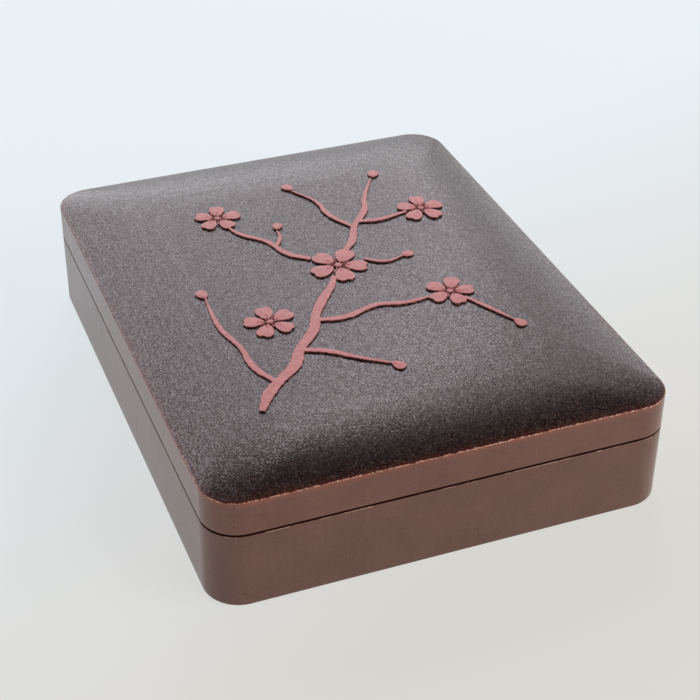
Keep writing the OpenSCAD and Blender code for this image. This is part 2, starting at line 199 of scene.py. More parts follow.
# %% [markdown]
# ## The light
#
# A wide, soft window stands behind the box, and a weaker one to its right. Both lean. The crowned top
# mirrors them, so it is pale at the back and dark along the front ridge, where it turns towards the dim
# ceiling. A lamp in front fills the shadows. A sun could light the box too, but a satin top shows the shape
# of what it mirrors, and a sun is only a dot. The lamps stay low enough for a colour to come out about as it
# is written.

# %% Lamps
MIDDLE = Vector((0, 0, 0.03))


def soft_lamp(name, place, size, watts, colour, lean=0):
    """An area lamp of (width, height) metres that faces the box, leaning by some degrees."""
    lamp = bpy.data.lights.new(name, "AREA")
    lamp.shape = "RECTANGLE"
    lamp.size, lamp.size_y = size
    lamp.energy = watts
    lamp.color = colour
    holder = bpy.data.objects.new(name, lamp)
    holder.location = place
    holder.rotation_mode = "QUATERNION"
    facing = (MIDDLE - Vector(place)).to_track_quat("-Z", "Y")
    holder.rotation_quaternion = facing @ Quaternion((0, 0, 1), math.radians(lean))
    scene.collection.objects.link(holder)


soft_lamp("window", (0.14, 1.91, 1.11), (1.84, 1.65), 21.7, (0.93, 0.965, 1.0), -16)
soft_lamp("side_window", (1.20, 1.52, 1.12), (0.75, 2.0), 5.8, (0.95, 0.97, 1.0), -18)
soft_lamp("room_fill", (1.25, -1.3, 1.0), (1.6, 1.0), 22, (1.0, 0.985, 0.96))

# %% [markdown]
# ## The room
#
# The lacquer also mirrors the walls round it. They could be modelled, but a graded background does the same
# with a few nodes: bright at the skirting, grey above it, and dim at the ceiling. The wall on the left is
# the palest, which brightens the box's left side, and the one in front is dimmer.

# %% Room
def pale_room():
    world = bpy.data.worlds.new("pale_room")
    world.use_nodes = True
    tree = world.node_tree
    generated = add(tree, "ShaderNodeTexCoord").outputs["Generated"]
    way = add(tree, "ShaderNodeSeparateXYZ", {0: generated}).outputs
    left_wall = remap(tree, way["X"], -0.3, -0.9, 1.0, 1.6)
    front_wall = remap(tree, way["Y"], -0.1, -0.7, 1.0, 0.6)
    fade = add(tree, "ShaderNodeValToRGB", {"Fac": way["Z"]})
    skirting = fade.color_ramp.elements[0]
    skirting.position, skirting.color = 0.08, (1.12, 1.15, 1.19, 1)
    fade.color_ramp.elements.new(0.27).color = (0.57, 0.58, 0.59, 1)
    ceiling = fade.color_ramp.elements[-1]
    ceiling.position, ceiling.color = 0.86, (0.05, 0.045, 0.04, 1)
    strength = sums(tree, "MULTIPLY", left_wall, front_wall)
    fill(tree, tree.nodes["Background"], {"Color": fade.outputs["Color"], "Strength": strength})
    return world


scene.world = pale_room()
print("room:", scene.world.name)

# %% [markdown]
# ## The table
#
# The box stands on a plain pale surface. Its colour is painted lighter and cooler at the back, towards the
# window, and warmer in front, as painted light. A shadow catcher could lay the shadow over a flat colour, but
# then the box's sides would have nothing to mirror. So the table is real, and part of its colour is given off
# rather than lit, which keeps the box's shadow as faint as it is in bright, even daylight.

# %% Table
FINISHES = {}
TABLE_HALF = 4.0
# The way along which the table's colour is painted lighter and cooler, as the window's light.
PAINTED_LIGHT_WAY = (-0.31, 0.95, 0)
WARM_AT, COOL_AT = -0.15, 0.14
GIVEN_OFF = 0.76
MIRRORED = 0.84


def new_finish(name):
    """Adds a material to FINISHES. Gives its tree, its shader and the piece's coordinates in metres."""
    material = bpy.data.materials.new(name)
    material.use_nodes = True
    FINISHES[name] = material
    tree = material.node_tree
    coords = add(tree, "ShaderNodeTexCoord").outputs["Object"]
    return tree, tree.nodes["Principled BSDF"], coords


def pale_table():
    tree, shader, _ = new_finish("pale_table")
    place = add(tree, "ShaderNodeNewGeometry").outputs["Position"]
    depth = vectors(tree, "DOT_PRODUCT", place, PAINTED_LIGHT_WAY)["Value"]
    # Painted light: paler and cooler towards the window at the back, warmer in front.
    colour = blend(tree, remap(tree, depth, WARM_AT, COOL_AT), rgb(229, 226, 220), rgb(240, 248, 253))
    lit = add(tree, "ShaderNodeBsdfDiffuse", {"Color": colour})
    given_off = add(tree, "ShaderNodeEmission", {"Color": colour, "Strength": 1.0})
    rays = add(tree, "ShaderNodeLightPath").outputs
    mirrored = sums(tree, "MULTIPLY", rays["Is Glossy Ray"], MIRRORED)
    seen = sums(tree, "MAXIMUM", rays["Is Camera Ray"], mirrored)
    seen = sums(tree, "MAXIMUM", seen, rays["Is Transmission Ray"])
    mixed = add(tree, "ShaderNodeMixShader", {
        0: sums(tree, "MULTIPLY", seen, GIVEN_OFF), 1: lit.outputs[0], 2: given_off.outputs[0],
    })
    fill(tree, tree.nodes["Material Output"], {"Surface": mixed.outputs[0]})
    tree.nodes.remove(shader)


pale_table()
table_mesh = bpy.data.meshes.new("table")
table_corners = [(x * TABLE_HALF, y * TABLE_HALF, 0) for x, y in ((-1, -1), (1, -1), (1, 1), (-1, 1))]
table_mesh.from_pydata(table_corners, [], [(0, 1, 2, 3)])
table_mesh.materials.append(FINISHES["pale_table"])
table = bpy.data.objects.new("table", table_mesh)
scene.collection.objects.link(table)
print("table half size, m:", TABLE_HALF)

# %% [markdown]
# ## Patterns for the finishes
#
# Lacquer, stone and horn never have one even colour. Pictures of them could be laid on, but a picture fits
# one shape at one size. Noise that is worked out in the piece's own coordinates has no seams and keeps its
# scale in millimetres, so each finish here is made of clouds, grains, specks and streaks.

# %% Patterns
def stretched(tree, coords, scale):
    """Coordinates multiplied along X, Y and Z, to draw a pattern out into streaks."""
    return add(tree, "ShaderNodeMapping", {"Vector": coords, "Scale": scale}).outputs["Vector"]


def cloud(tree, coords, size, detail=2.0, roughness=0.5):
    """Noise from 0 to 1 whose blotches are about size metres across."""
    return add(tree, "ShaderNodeTexNoise", {
        "Vector": coords, "Scale": 1 / size, "Detail": detail, "Roughness": roughness,
    }).outputs["Fac"]


def grains_of(tree, coords, size):
    """The outputs of a pattern of cells about size metres across."""
    return add(tree, "ShaderNodeTexVoronoi", {"Vector": coords, "Scale": 1 / size}).outputs


def drift(tree, coords, size, first, second, detail=3, roughness=0.5):
    """Two colours that drift into each other."""
    clouds = cloud(tree, coords, size, detail, roughness)
    return blend(tree, remap(tree, clouds, 0.35, 0.65), first, second)


def specked(tree, coords, ground, speck, spacing, core, reach, most):
    """Strews round specks on a ground. Each fades from core to reach, both in parts of the spacing."""
    share = remap(tree, grains_of(tree, coords, spacing)["Distance"], core, reach, most, 0)
    return blend(tree, share, ground, speck)


def relief(tree, height, distance, base=None):
    """A bump whose full height is distance metres."""
    inputs = {"Height": height, "Distance": distance, "Strength": 1.0}
    if base is not None:
        inputs["Normal"] = base
    return add(tree, "ShaderNodeBump", inputs).outputs["Normal"]


def stored(tree, name):
    """A number that the piece stores at each of its points."""
    return add(tree, "ShaderNodeAttribute", attribute_name=name).outputs["Fac"]


print("finishes so far:", len(FINISHES))

# %% [markdown]
# ## Worn edges
#
# Where hands and the table rub a lacquered edge, the coats below come through in ragged patches. They could
# be painted by hand on each piece. Here a skin stores every point's distance to its edge, and noise shifts
# that distance to and fro, so that one rule wears every edge. The finishes also put pale specks of painted
# highlight in these rubbed places. The wear is fullest along the front.

# %% Worn edges
FRONT_Y, CALM_Y = -100 * MM, -75 * MM
CALM_SHARE = 0.3


def near_edge(tree, pattern, shift, start, end, most=1):
    """From most at the edge to 0 further in. The pattern moves the line by shift, a (low, high) pair."""
    moved = sums(tree, "ADD", stored(tree, "from_edge"), remap(tree, pattern, 0.3, 0.7, *shift))
    return remap(tree, moved, start, end, most, 0)


def rubbed(tree, coords, reach):
    """1 where an edge is rubbed through and given painted highlights, within about reach metres of it, and
    less away from the front.
    """
    ragged = cloud(tree, coords, 1.6 * MM, 5, 0.7)
    through = near_edge(tree, ragged, (-0.5 * reach, 0.9 * reach), 0.55 * reach, reach)
    depth = add(tree, "ShaderNodeSeparateXYZ", {"Vector": coords}).outputs["Y"]
    return sums(tree, "MULTIPLY", through, remap(tree, depth, FRONT_Y, CALM_Y, 1, CALM_SHARE))


print("wear is full in front of y, mm:", round(FRONT_Y / MM))

# %% [markdown]
# ## Brown lacquer
#
# The sides have several thin coats of brown over wood, rubbed down to a satin gloss. They show fine grit,
# faint upright streaks and a few dark pits, and a lighter undercoat shows through near the edges. On the box,
# that lighter tan band along the joint's edge is a painted highlight as well as wear, and on both the rubbed
# places carry pale specks of painted highlight. One flat brown with a gloss would look like plastic, so each
# of these is a layer of its own, laid over two tones of brown. The lid's edges are redder and worn further in
# than the box's.

# %% Brown lacquer
def brown_lacquer(name, tones, wear_and_highlight_colour, edge_reach, undercoat_and_highlight_reach, least_wear):
    """Wear and painted highlight come in stretches along the edge, and least_wear is their share between them.
    """
    tree, shader, coords = new_finish(name)
    streaks = cloud(tree, stretched(tree, coords, (1, 1, 0.08)), 1.3 * MM, 3, 0.6)
    grit = cloud(tree, coords, 0.55 * MM, 3, 0.75)
    colour = drift(tree, coords, 24 * MM, *tones, roughness=0.55)
    colour = blend(tree, remap(tree, streaks, 0.5, 0.78, 0, 0.14), colour, rgb(140, 100, 88))
    colour = blend(tree, remap(tree, grit, 0.3, 0.5, 0.3, 0), colour, rgb(76, 52, 45))
    colour = blend(tree, remap(tree, grit, 0.5, 0.7, 0, 0.3), colour, rgb(152, 112, 98))
    colour = specked(tree, coords, colour, rgb(58, 36, 30), 7 * MM, 0.04, 0.07, 0.7)
    stretches = remap(tree, cloud(tree, coords, 9 * MM, 3, 0.6), 0.5, 0.56, least_wear, 1)
    # Towards the edge the colour turns to the edge colour: on the lid the red undercoat, on the box a tan band
    # that is a painted highlight as well as wear.
    undercoat_and_highlight = remap(tree, stored(tree, "from_edge"), 0, undercoat_and_highlight_reach, 0.45, 0)
    colour = blend(tree, sums(tree, "MULTIPLY", undercoat_and_highlight, stretches), colour, wear_and_highlight_colour)
    bare = remap(tree, cloud(tree, coords, 0.7 * MM), 0.5, 0.6)
    # The pale colour of the rubbed places is partly bare undercoat and partly painted highlight.
    bright = blend(tree, bare, wear_and_highlight_colour, rgb(224, 186, 162))
    worn = sums(tree, "MULTIPLY", rubbed(tree, coords, edge_reach), stretches)
    skin = relief(tree, cloud(tree, coords, 0.9 * MM), 0.008 * MM)
    fill(tree, shader, {
        "Base Color": blend(tree, worn, colour, bright),
        "Roughness": remap(tree, streaks, 0.3, 0.7, 0.18, 0.26),
        "Specular IOR Level": 0.5,
        "Normal": relief(tree, streaks, 0.012 * MM, skin),
    })


BOX_TONES = rgb(107, 73, 63), rgb(117, 81, 70)
LID_TONES = rgb(112, 74, 62), rgb(122, 82, 70)
# On the box the tan edge colour is a painted highlight along the joint's eased edge, as well as wear.
brown_lacquer("box_lacquer", BOX_TONES, rgb(176, 136, 116), 0.25 * MM, 0.6 * MM, 0)
brown_lacquer("lid_lacquer", LID_TONES, rgb(172, 90, 74), 0.5 * MM, 2.8 * MM, 0.7)
print("finishes so far:", len(FINISHES))

# %% [markdown]
# ## The stone coat
#
# The crown is strewn with coarse powder under clear lacquer. It is nearly black from above, and takes the
# window's colour where it mirrors it. Real grains could be scattered over the crown, but it would take
# hundreds of thousands. So each cell of a fine pattern is one grain that leans a little its own way, and two
# in five shine through a glossier coat. Towards the ridge the red undercoat shows, and where the ridge is
# rubbed, pale specks on it are painted highlights.

# %% Stone coat
GRAIN = 0.42 * MM
GRAIN_RELIEF = 0.13


def stone_lacquer():
    tree, shader, coords = new_finish("stone_lacquer")
    grains = grains_of(tree, coords, GRAIN)
    pick = add(tree, "ShaderNodeSeparateColor", {"Color": grains["Color"]}).outputs
    fine = cloud(tree, coords, 0.6 * MM, 3, 0.65)
    colour = drift(tree, coords, 18 * MM, rgb(14, 5, 3), rgb(24, 10, 6))
    colour = blend(tree, remap(tree, pick["Green"], 0.5, 1.0, 0, 0.42), colour, rgb(74, 44, 34))
    colour = blend(tree, remap(tree, pick["Red"], 0.87, 1.0, 0, 0.3), colour, rgb(150, 124, 108))
    stain = near_edge(tree, fine, (-2 * MM, 2 * MM), 0, 4 * MM, 0.22)
    colour = blend(tree, stain, colour, rgb(104, 40, 24))
    fringe = near_edge(tree, fine, (-0.5 * MM, 0.5 * MM), 0.4 * MM, 1.5 * MM, 0.75)
    colour = blend(tree, fringe, colour, rgb(78, 20, 12))
    # The rubbed ridge turns red, with pale specks that are painted highlights.
    edge = blend(tree, remap(tree, fine, 0.46, 0.58), rgb(150, 70, 54), rgb(232, 196, 170))
    lean = vectors(tree, "SUBTRACT", grains["Color"], (0.5, 0.5, 0.5))[0]
    reach = vectors(tree, "SUBTRACT", coords, grains["Position"])[0]
    bump = relief(tree, vectors(tree, "DOT_PRODUCT", lean, reach)["Value"], GRAIN_RELIEF)
    fill(tree, shader, {
        "Base Color": blend(tree, rubbed(tree, coords, 0.45 * MM), colour, edge),
        "Roughness": 0.16,
        "Specular IOR Level": 0.37,
        "Specular Tint": (1.0, 0.64, 0.69, 1),
        "Coat Weight": remap(tree, pick["Blue"], 0.55, 0.65, 0, 0.26),
        "Coat Roughness": 0.13,
        "Coat IOR": 2.6,
        "Normal": bump,
        "Coat Normal": bump,
    })


stone_lacquer()
print("grain, mm:", round(GRAIN / MM, 2))

# %% [markdown]
# ## The other lacquers
#
# The branch has a soft coral coat with dark specks, and the sides that the knife cut show its dark ground
# coats, darkened further as painted shade, with tan patches of painted highlight. Inside, the box is black,
# with red showing where an edge has begun to wear, and the faces that meet in the joint are dark red. One
# lacquer with a different colour each time would be shorter, but each of these has its own gloss and its own
# faults, so each has its own few lines.

# %% Other lacquers
def coral_lacquer():
    tree, shader, coords = new_finish("coral_lacquer")
    colour = drift(tree, coords, 2.5 * MM, rgb(198, 102, 105), rgb(212, 124, 124), 4, 0.6)
    fill(tree, shader, {
        "Base Color": specked(tree, coords, colour, rgb(150, 86, 78), 1.9 * MM, 0.08, 0.16, 0.7),
        "Roughness": 0.42,
        "Normal": relief(tree, cloud(tree, coords, 0.9 * MM, 3), 0.03 * MM),
    })


def shaded_cut_side():
    """The knife-cut side of the raised ornament: dark ground coats, partly painted shade, with tan patches
    that are painted highlights.
    """
    tree, shader, coords = new_finish("shaded_cut_side")
    # Painted shade and highlight: the dark ground stands partly for the shaded upright sides, and the tan
    # patches are painted highlights.
    patches = remap(tree, cloud(tree, coords, 1.6 * MM, 3, 0.6), 0.5, 0.66)
    fill(tree, shader, {
        "Base Color": blend(tree, patches, rgb(54, 32, 27), rgb(150, 96, 82)),
        "Roughness": 0.6,
    })


def black_lacquer():
    tree, shader, coords = new_finish("black_lacquer")
    colour = drift(tree, coords, 22 * MM, rgb(26, 19, 17), rgb(36, 26, 23))
    brushed = cloud(tree, stretched(tree, coords, (1, 0.08, 1)), 0.8 * MM, 3, 0.6)
    fill(tree, shader, {
        "Base Color": specked(tree, coords, colour, rgb(150, 140, 130), 4.3 * MM, 0.02, 0.04, 0.5),
        "Roughness": remap(tree, cloud(tree, coords, 7 * MM, 4), 0.3, 0.7, 0.27, 0.34),
        "Normal": relief(tree, brushed, 0.006 * MM),
    })


def rim_lacquer():
    """The dark red coat on the faces that meet in the joint."""
    tree, shader, coords = new_finish("rim_lacquer")
    fill(tree, shader, {
        "Base Color": drift(tree, coords, 6 * MM, rgb(50, 10, 6), rgb(66, 18, 11), roughness=0.6),
        "Roughness": remap(tree, cloud(tree, coords, 3 * MM, 4), 0.3, 0.7, 0.34, 0.42),
    })


def worn_edge():
    """The eased edge of a black piece, where the red undercoat has begun to show."""
    tree, shader, coords = new_finish("worn_edge")
    patches = remap(tree, cloud(tree, coords, 2.4 * MM, 4, 0.65), 0.48, 0.6)
    fill(tree, shader, {
        "Base Color": blend(tree, patches, rgb(38, 26, 22), rgb(128, 52, 38)),
        "Roughness": 0.32,
    })


for make_finish in (coral_lacquer, shaded_cut_side, black_lacquer, rim_lacquer, worn_edge):
    make_finish()
print("finishes so far:", len(FINISHES))

# %% [markdown]
# ## Stone, ink and metal
#
# Slate is split along its bed, so its bands run level through it, and its fine mica catches the light. The
# grinding face is polished by use and stained by ink. Ink is pressed soot, and the brass has dulled
# unevenly. The bands could be drawn as lines, but noise squeezed along Z gives bands that fork and fade as
# real ones do.

# %% Stone, ink and brass
def slate():
    tree, shader, coords = new_finish("slate")
    beds = cloud(tree, stretched(tree, coords, (0.12, 0.05, 1)), 1.6 * MM, 4, 0.6)
    colour = drift(tree, coords, 14 * MM, rgb(66, 68, 72), rgb(88, 88, 90), 4, 0.6)
    colour = blend(tree, remap(tree, beds, 0.5, 0.7, 0, 0.5), colour, rgb(104, 98, 94))
    colour = specked(tree, coords, colour, rgb(170, 170, 168), 0.9 * MM, 0.06, 0.12, 0.8)
    ragged = remap(tree, cloud(tree, coords, 6 * MM, 5, 0.7), 0.35, 0.65, -0.3, 0.3)
    inky = remap(tree, sums(tree, "ADD", stored(tree, "inky"), ragged), 0.35, 0.6)
    skin = relief(tree, cloud(tree, coords, 0.7 * MM, 4, 0.65), 0.05 * MM)
    fill(tree, shader, {
        "Base Color": blend(tree, inky, colour, rgb(24, 24, 27)),
        "Roughness": remap(tree, inky, 0, 1, 0.58, 0.3),
        "Normal": relief(tree, beds, 0.08 * MM, skin),
    })


def pressed_ink():
    tree, shader, coords = new_finish("pressed_ink")
    tone = cloud(tree, coords, 5 * MM, 4, 0.6)
    fill(tree, shader, {
        "Base Color": blend(tree, tone, rgb(24, 24, 26), rgb(44, 43, 44)),
        "Roughness": remap(tree, tone, 0.3, 0.7, 0.35, 0.55),
        "Normal": relief(tree, cloud(tree, coords, 0.6 * MM, 4, 0.7), 0.03 * MM),
    })


def metal(name, bright, dull, roughness):
    tree, shader, coords = new_finish(name)
    patina = remap(tree, cloud(tree, coords, 6 * MM, 6, 0.68), 0.42, 0.62)
    fill(tree, shader, {
        "Base Color": blend(tree, patina, bright, dull),
        "Metallic": remap(tree, patina, 0, 1, 1.0, 0.75),
        "Roughness": remap(tree, patina, 0, 1, roughness, roughness + 0.22),
        "Normal": relief(tree, cloud(tree, coords, 1.2 * MM, 4, 0.6), 0.02 * MM),
    })


slate()
pressed_ink()
metal("brass", rgb(196, 158, 92), rgb(120, 90, 50), 0.28)
metal("gilt", rgb(222, 178, 92), rgb(180, 132, 60), 0.3)
print("finishes so far:", len(FINISHES))

# %% [markdown]
# ## Bamboo, horn and hair
#
# Bamboo has fine fibres along the handle and a hard, polished rind. Horn is dark, with long streaks. Goat
# hair is off-white with dark partings. Single hairs could be grown, but at this size they only show as
# streaks, so all three are noise drawn out along the brush.

# %% Bamboo, horn and hair
def along_fibres(tree, coords, across, along):
    """Streaks along Y, with their width and length in metres."""
    return cloud(tree, stretched(tree, coords, (1, across / along, 1)), across, 3, 0.6)


def bamboo():
    tree, shader, coords = new_finish("bamboo")
    fibres = along_fibres(tree, coords, 0.35 * MM, 14 * MM)
    colour = drift(tree, coords, 9 * MM, rgb(196, 160, 100), rgb(216, 184, 124), 4, 0.6)
    colour = blend(tree, remap(tree, fibres, 0.5, 0.7, 0, 0.7), colour, rgb(158, 118, 66))
    fill(tree, shader, {
        "Base Color": blend(tree, stored(tree, "node_ring"), colour, rgb(122, 86, 46)),
        "Roughness": remap(tree, fibres, 0.3, 0.7, 0.28, 0.42),
        "Normal": relief(tree, fibres, 0.025 * MM),
    })


def horn():
    tree, shader, coords = new_finish("horn")
    streaks = along_fibres(tree, coords, 1.1 * MM, 12 * MM)
    fill(tree, shader, {
        "Base Color": blend(tree, remap(tree, streaks, 0.4, 0.66), rgb(34, 24, 19), rgb(96, 66, 44)),
        "Roughness": 0.22,
        "Normal": relief(tree, streaks, 0.015 * MM),
    })


def goat_hair():
    tree, shader, coords = new_finish("goat_hair")
    strands = along_fibres(tree, coords, 0.18 * MM, 16 * MM)
    fill(tree, shader, {
        "Base Color": blend(tree, remap(tree, strands, 0.35, 0.65), rgb(196, 182, 156), rgb(240, 233, 218)),
        "Roughness": 0.7,
        "Sheen Weight": 0.3,
        "Normal": relief(tree, strands, 0.06 * MM),
    })


bamboo()
horn()
goat_hair()
print("finishes:", ", ".join(FINISHES))

# %% [markdown]
# ## Dressing the plain pieces
#
# Boards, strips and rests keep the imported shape. They could be built again as skins, but they are plain, so
# each only gets its finish and a narrow eased edge from a bevel modifier. No lacquered edge is truly sharp,
# and the coat wears first there.

# %% Plain pieces
def dress(names, finishes, ease):
    """Gives nodes a finish, and eases their edges. A second finish is for the eased edge."""
    for name in names:
        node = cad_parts[name]
        node.data.materials.clear()
        for finish in finishes:
            node.data.materials.append(FINISHES[finish])
        weld = node.modifiers.new("weld", "WELD")
        weld.merge_threshold = TINY
        bevel = node.modifiers.new("eased_edges", "BEVEL")
        bevel.width = ease
        bevel.segments = 3
        bevel.limit_method = "ANGLE"
        bevel.angle_limit = math.radians(40)
        bevel.harden_normals = True
        if len(finishes) > 1:
            bevel.material = 1
    print("plain pieces dressed:", len(names))


dress(["tray_floor", "tray_side_left", "tray_side_right", "tray_end_front", "tray_end_back",
       "rest_front", "rest_back", "board_top"], ["black_lacquer", "worn_edge"], 0.35 * MM)
dress(["floor_board", "board_base"], ["black_lacquer"], 0.3 * MM)

# %% [markdown]
# ## Rings round the box
#
# A skin of the box could be carved with modifiers, but then its faces fall where they will. Here it is a
# stack of rounded rectangles, one for each point of its profile, each with the same number of points, so
# that neighbours join with four-sided faces.

# %% Rings and lofts
CORNER_STEPS = 20
SHORT_STEPS = 90
LONG_STEPS = 120


def plan_loop(width, length, r, z, steps=(SHORT_STEPS, CORNER_STEPS, LONG_STEPS), centre=(0, 0)):
    """A level rounded rectangle, anticlockwise from above, starting at the left end of its front side."""
    short, corner, long = steps
    cx, cy = width / 2 - r, length / 2 - r
    points = []
    for quarter, (x, y) in enumerate(((cx, -cy), (cx, cy), (-cx, cy), (-cx, -cy))):
        gaps = short if quarter % 2 == 0 else long
        turn = Matrix.Rotation(math.radians(90 * quarter), 2)
        run = 2 * (cx if quarter % 2 == 0 else cy)
        start = Vector((x, y)) + turn @ Vector((-run, -r))
        step = turn @ Vector((run / gaps, 0))
        points += [start + step * k for k in range(gaps)]
        for k in range(corner):
            a = math.radians(90 * (quarter - 1 + k / corner))
            points.append(Vector((x + r * math.cos(a), y + r * math.sin(a))))
    return [Vector((p.x + centre[0], p.y + centre[1], z)) for p in points]


def ring(inset, z, r=None):
    """One level outline of the box, inset metres in from its sides."""
    corner_r = CORNER_R - inset if r is None else r
    return plan_loop(2 * (half_w - inset), 2 * (half_l - inset), corner_r, z)


def loft(rings, wrap=False, caps=False):
    """Joins rings of equal count. wrap joins the last to the first as well, and caps close the ends."""
    count = len(rings[0])
    vertices = [p for outline in rings for p in outline]
    faces = []
    for level in range(len(rings) if wrap else len(rings) - 1):
        low, high = level * count, ((level + 1) % len(rings)) * count
        for i in range(count):
            k = (i + 1) % count
            faces.append((low + i, low + k, high + k, high + i))
    if caps:
        faces.append(tuple(range(count)))
        faces.append(tuple(range(len(vertices) - count, len(vertices))))
    return vertices, faces


def eased_edge(inset, z, r, start, steps=4):
    """Profile points of a quarter round about (inset, z), starting at an angle from straight out."""
    angles = [math.radians(start + 90 * k / steps) for k in range(steps + 1)]
    return [(inset - r * math.cos(a), z + r * math.sin(a)) for a in angles]


print("points in a ring:", len(ring(0, 0)))

# %% [markdown]
# ## From a mesh to a piece
#
# Every new piece needs the same few things: normals that face outwards, its finishes, smooth shading that
# breaks at real edges, a body to ride on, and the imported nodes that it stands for. One function does them
# all, so that no piece can miss one.

# %% New pieces
def new_piece(name, vertices, faces, body, slot, finishes, stands_for=(), choose=None, sharp=35):
    """A closed, smooth-shaded mesh that rides on a body. choose gives a face's place in finishes."""
    mesh = bpy.data.meshes.new(name)
    mesh.from_pydata([tuple(v) for v in vertices], [], faces)
    work = bmesh.new()
    work.from_mesh(mesh)
    bmesh.ops.recalc_face_normals(work, faces=work.faces)
    work.to_mesh(mesh)
    work.free()
    for finish in finishes:
        mesh.materials.append(FINISHES[finish])
    if choose:
        for face in mesh.polygons:
            face.material_index = choose(face)
    mesh.shade_smooth()
    mesh.set_sharp_from_angle(angle=math.radians(sharp))
    piece = bpy.data.objects.new(name, mesh)
    scene.collection.objects.link(piece)
    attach(piece, body)
    if stands_for:
        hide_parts(*stands_for)
    print(f"{name}: {len(mesh.polygons)} faces")
    return piece


def store(piece, name, measure):
    """Stores a number at each point of a piece for its finish to read."""
    attribute = piece.data.attributes.new(name, "FLOAT", "POINT")
    for vertex in piece.data.vertices:
        attribute.data[vertex.index].value = measure(vertex.co)


def inset_of(co):
    """How far in from the box's outer side a point is, seen from above."""
    qx, qy = abs(co.x) - (half_w - CORNER_R), abs(co.y) - (half_l - CORNER_R)
    return CORNER_R - math.hypot(max(qx, 0), max(qy, 0)) - min(max(qx, qy), 0)


def is_outside(face):
    """Whether a face of a box skin is on or near the outer side."""
    return inset_of(face.center) < 1.2 * MM


print("the box's middle is in from its side, mm:", round(inset_of(Vector((0, 0, 0))) / MM, 1))

# %% [markdown]
# ## The lower box
#
# Four mitred boards carry the walls. Each could have a skin of its own, but the lacquer runs over the
# mitres, so one skin stands for all four. Its profile goes up the outside from a rounded foot to the joint's
# eased edge, and back down the inside. The thin lip inside the walls, which locates the lid, is a skin of
# its own.

# %% Lower box
EASE = 0.15 * MM
LIP_EASE = 0.5 * MM
UNWORN = 0.3 * MM
WALL_LEVELS = (4, 8, 12, 16, 20, 24, 28, 31)


def box_finish(face):
    z = face.center.z
    if z > joint_z - TINY:
        return 1
    return 0 if is_outside(face) or z < floor_top_z else 2


def below_joint(co):
    """Distance down from the joint's edge. The face on top counts as unworn."""
    return joint_z - co.z if co.z < joint_z - 0.01 * MM else UNWORN


wall_profile = (
    [(WALL_T, 0)]
    + eased_edge(FOOT_R, FOOT_R, FOOT_R, -90)
    + [(0, z * MM) for z in WALL_LEVELS]
    + eased_edge(EASE, joint_z - EASE, EASE, 0)
    + [(WALL_T, joint_z), (WALL_T, floor_top_z)]
)
box_skin = new_piece(
    "box_skin", *loft([ring(inset, z) for inset, z in wall_profile], wrap=True), "box", "brown_lacquer",
    ["box_lacquer", "rim_lacquer", "black_lacquer"], ["wall_front", "wall_back", "wall_left", "wall_right"],
    box_finish)
store(box_skin, "from_edge", below_joint)

lip_profile = (
    [(WALL_T, floor_top_z), (WALL_T, joint_z)]
    + eased_edge(WALL_T + LIP_EASE, lip_top_z - LIP_EASE, LIP_EASE, 0)
    + eased_edge(LIP_IN - LIP_EASE, lip_top_z - LIP_EASE, LIP_EASE, 90)
    + [(LIP_IN, joint_z), (LIP_IN, floor_top_z)]
)
new_piece("lip", *loft([ring(inset, z) for inset, z in lip_profile], wrap=True), "box", "black_lacquer",
          ["black_lacquer", "worn_edge"], ["lip_front", "lip_back", "lip_left", "lip_right"],
          lambda face: 1 if face.center.z > lip_top_z - 0.4 * MM else 0)

# %% [markdown]
# ## The lid's sides
#
# The lid sits flush on the box, and a thin dark line runs round at the joint. It could be painted on, but it
# is a real gap: the lid's lower edge is cut back, so the skin's profile is stepped in there.

# %% Lid sides
LINE_H = 1.0 * MM
LINE_DEEP = 3.2 * MM
LINE_EASE = 0.2 * MM
RAIL_LEVELS = (3, 6, 9, 11, 12.5, 13.5, 14.1)


def rail_finish(face):
    if face.center.z < joint_z + LINE_H + TINY:
        return 1
    return 0 if is_outside(face) else 2


rail_profile = (
    [(RAIL_T, joint_z), (LINE_DEEP, joint_z), (LINE_DEEP, joint_z + LINE_H)]
    + eased_edge(LINE_EASE, joint_z + LINE_H + LINE_EASE, LINE_EASE, -90)
    + [(0, joint_z + z * MM) for z in RAIL_LEVELS]
    + [(0, seat_z), (RAIL_T, seat_z)]
)
lid_sides = new_piece(
    "lid_sides", *loft([ring(inset, z) for inset, z in rail_profile], wrap=True), "lid", "brown_lacquer",
    ["lid_lacquer", "rim_lacquer", "black_lacquer"], ["rail_front", "rail_back", "rail_left", "rail_right"],
    rail_finish)
store(lid_sides, "from_edge", lambda co: ridge_z - co.z)

# %% [markdown]
# ## The crown
#
# The top is one board, carved to a crown: it climbs at about 16 degrees from the ridge, and flattens towards
# the middle. A subdivision surface would be smooth as well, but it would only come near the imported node. The
# rings follow the node's own rule, closer together, and the ridge is eased and slightly uneven, as rubbing
# leaves it.

# %% Crown
RIDGE_EASE = 0.4 * MM
RIDGE_TURNS = (0, 0.4, 0.8, 1.2)
RIDGE_WEAR = 0.09 * MM
FIRST_SHARE = 0.02
BAND_STEPS = 34
FLAT_STEPS = 14


def crown_ring(share):
    """The crown's level outline at a share of the way in across its sloping band."""
    z = ridge_z + crown_h * (1 - (1 - share) ** CROWN_POWER)
    return ring(CROWN_BAND * share, z, CORNER_R + (CROWN_R - CORNER_R) * share)


def ridge_ring(a):
    """The outline at an angle, in radians, round the ridge's eased edge."""
    return ring(RIDGE_EASE * (1 - math.cos(a)), ridge_z - RIDGE_EASE * (1 - math.sin(a)))


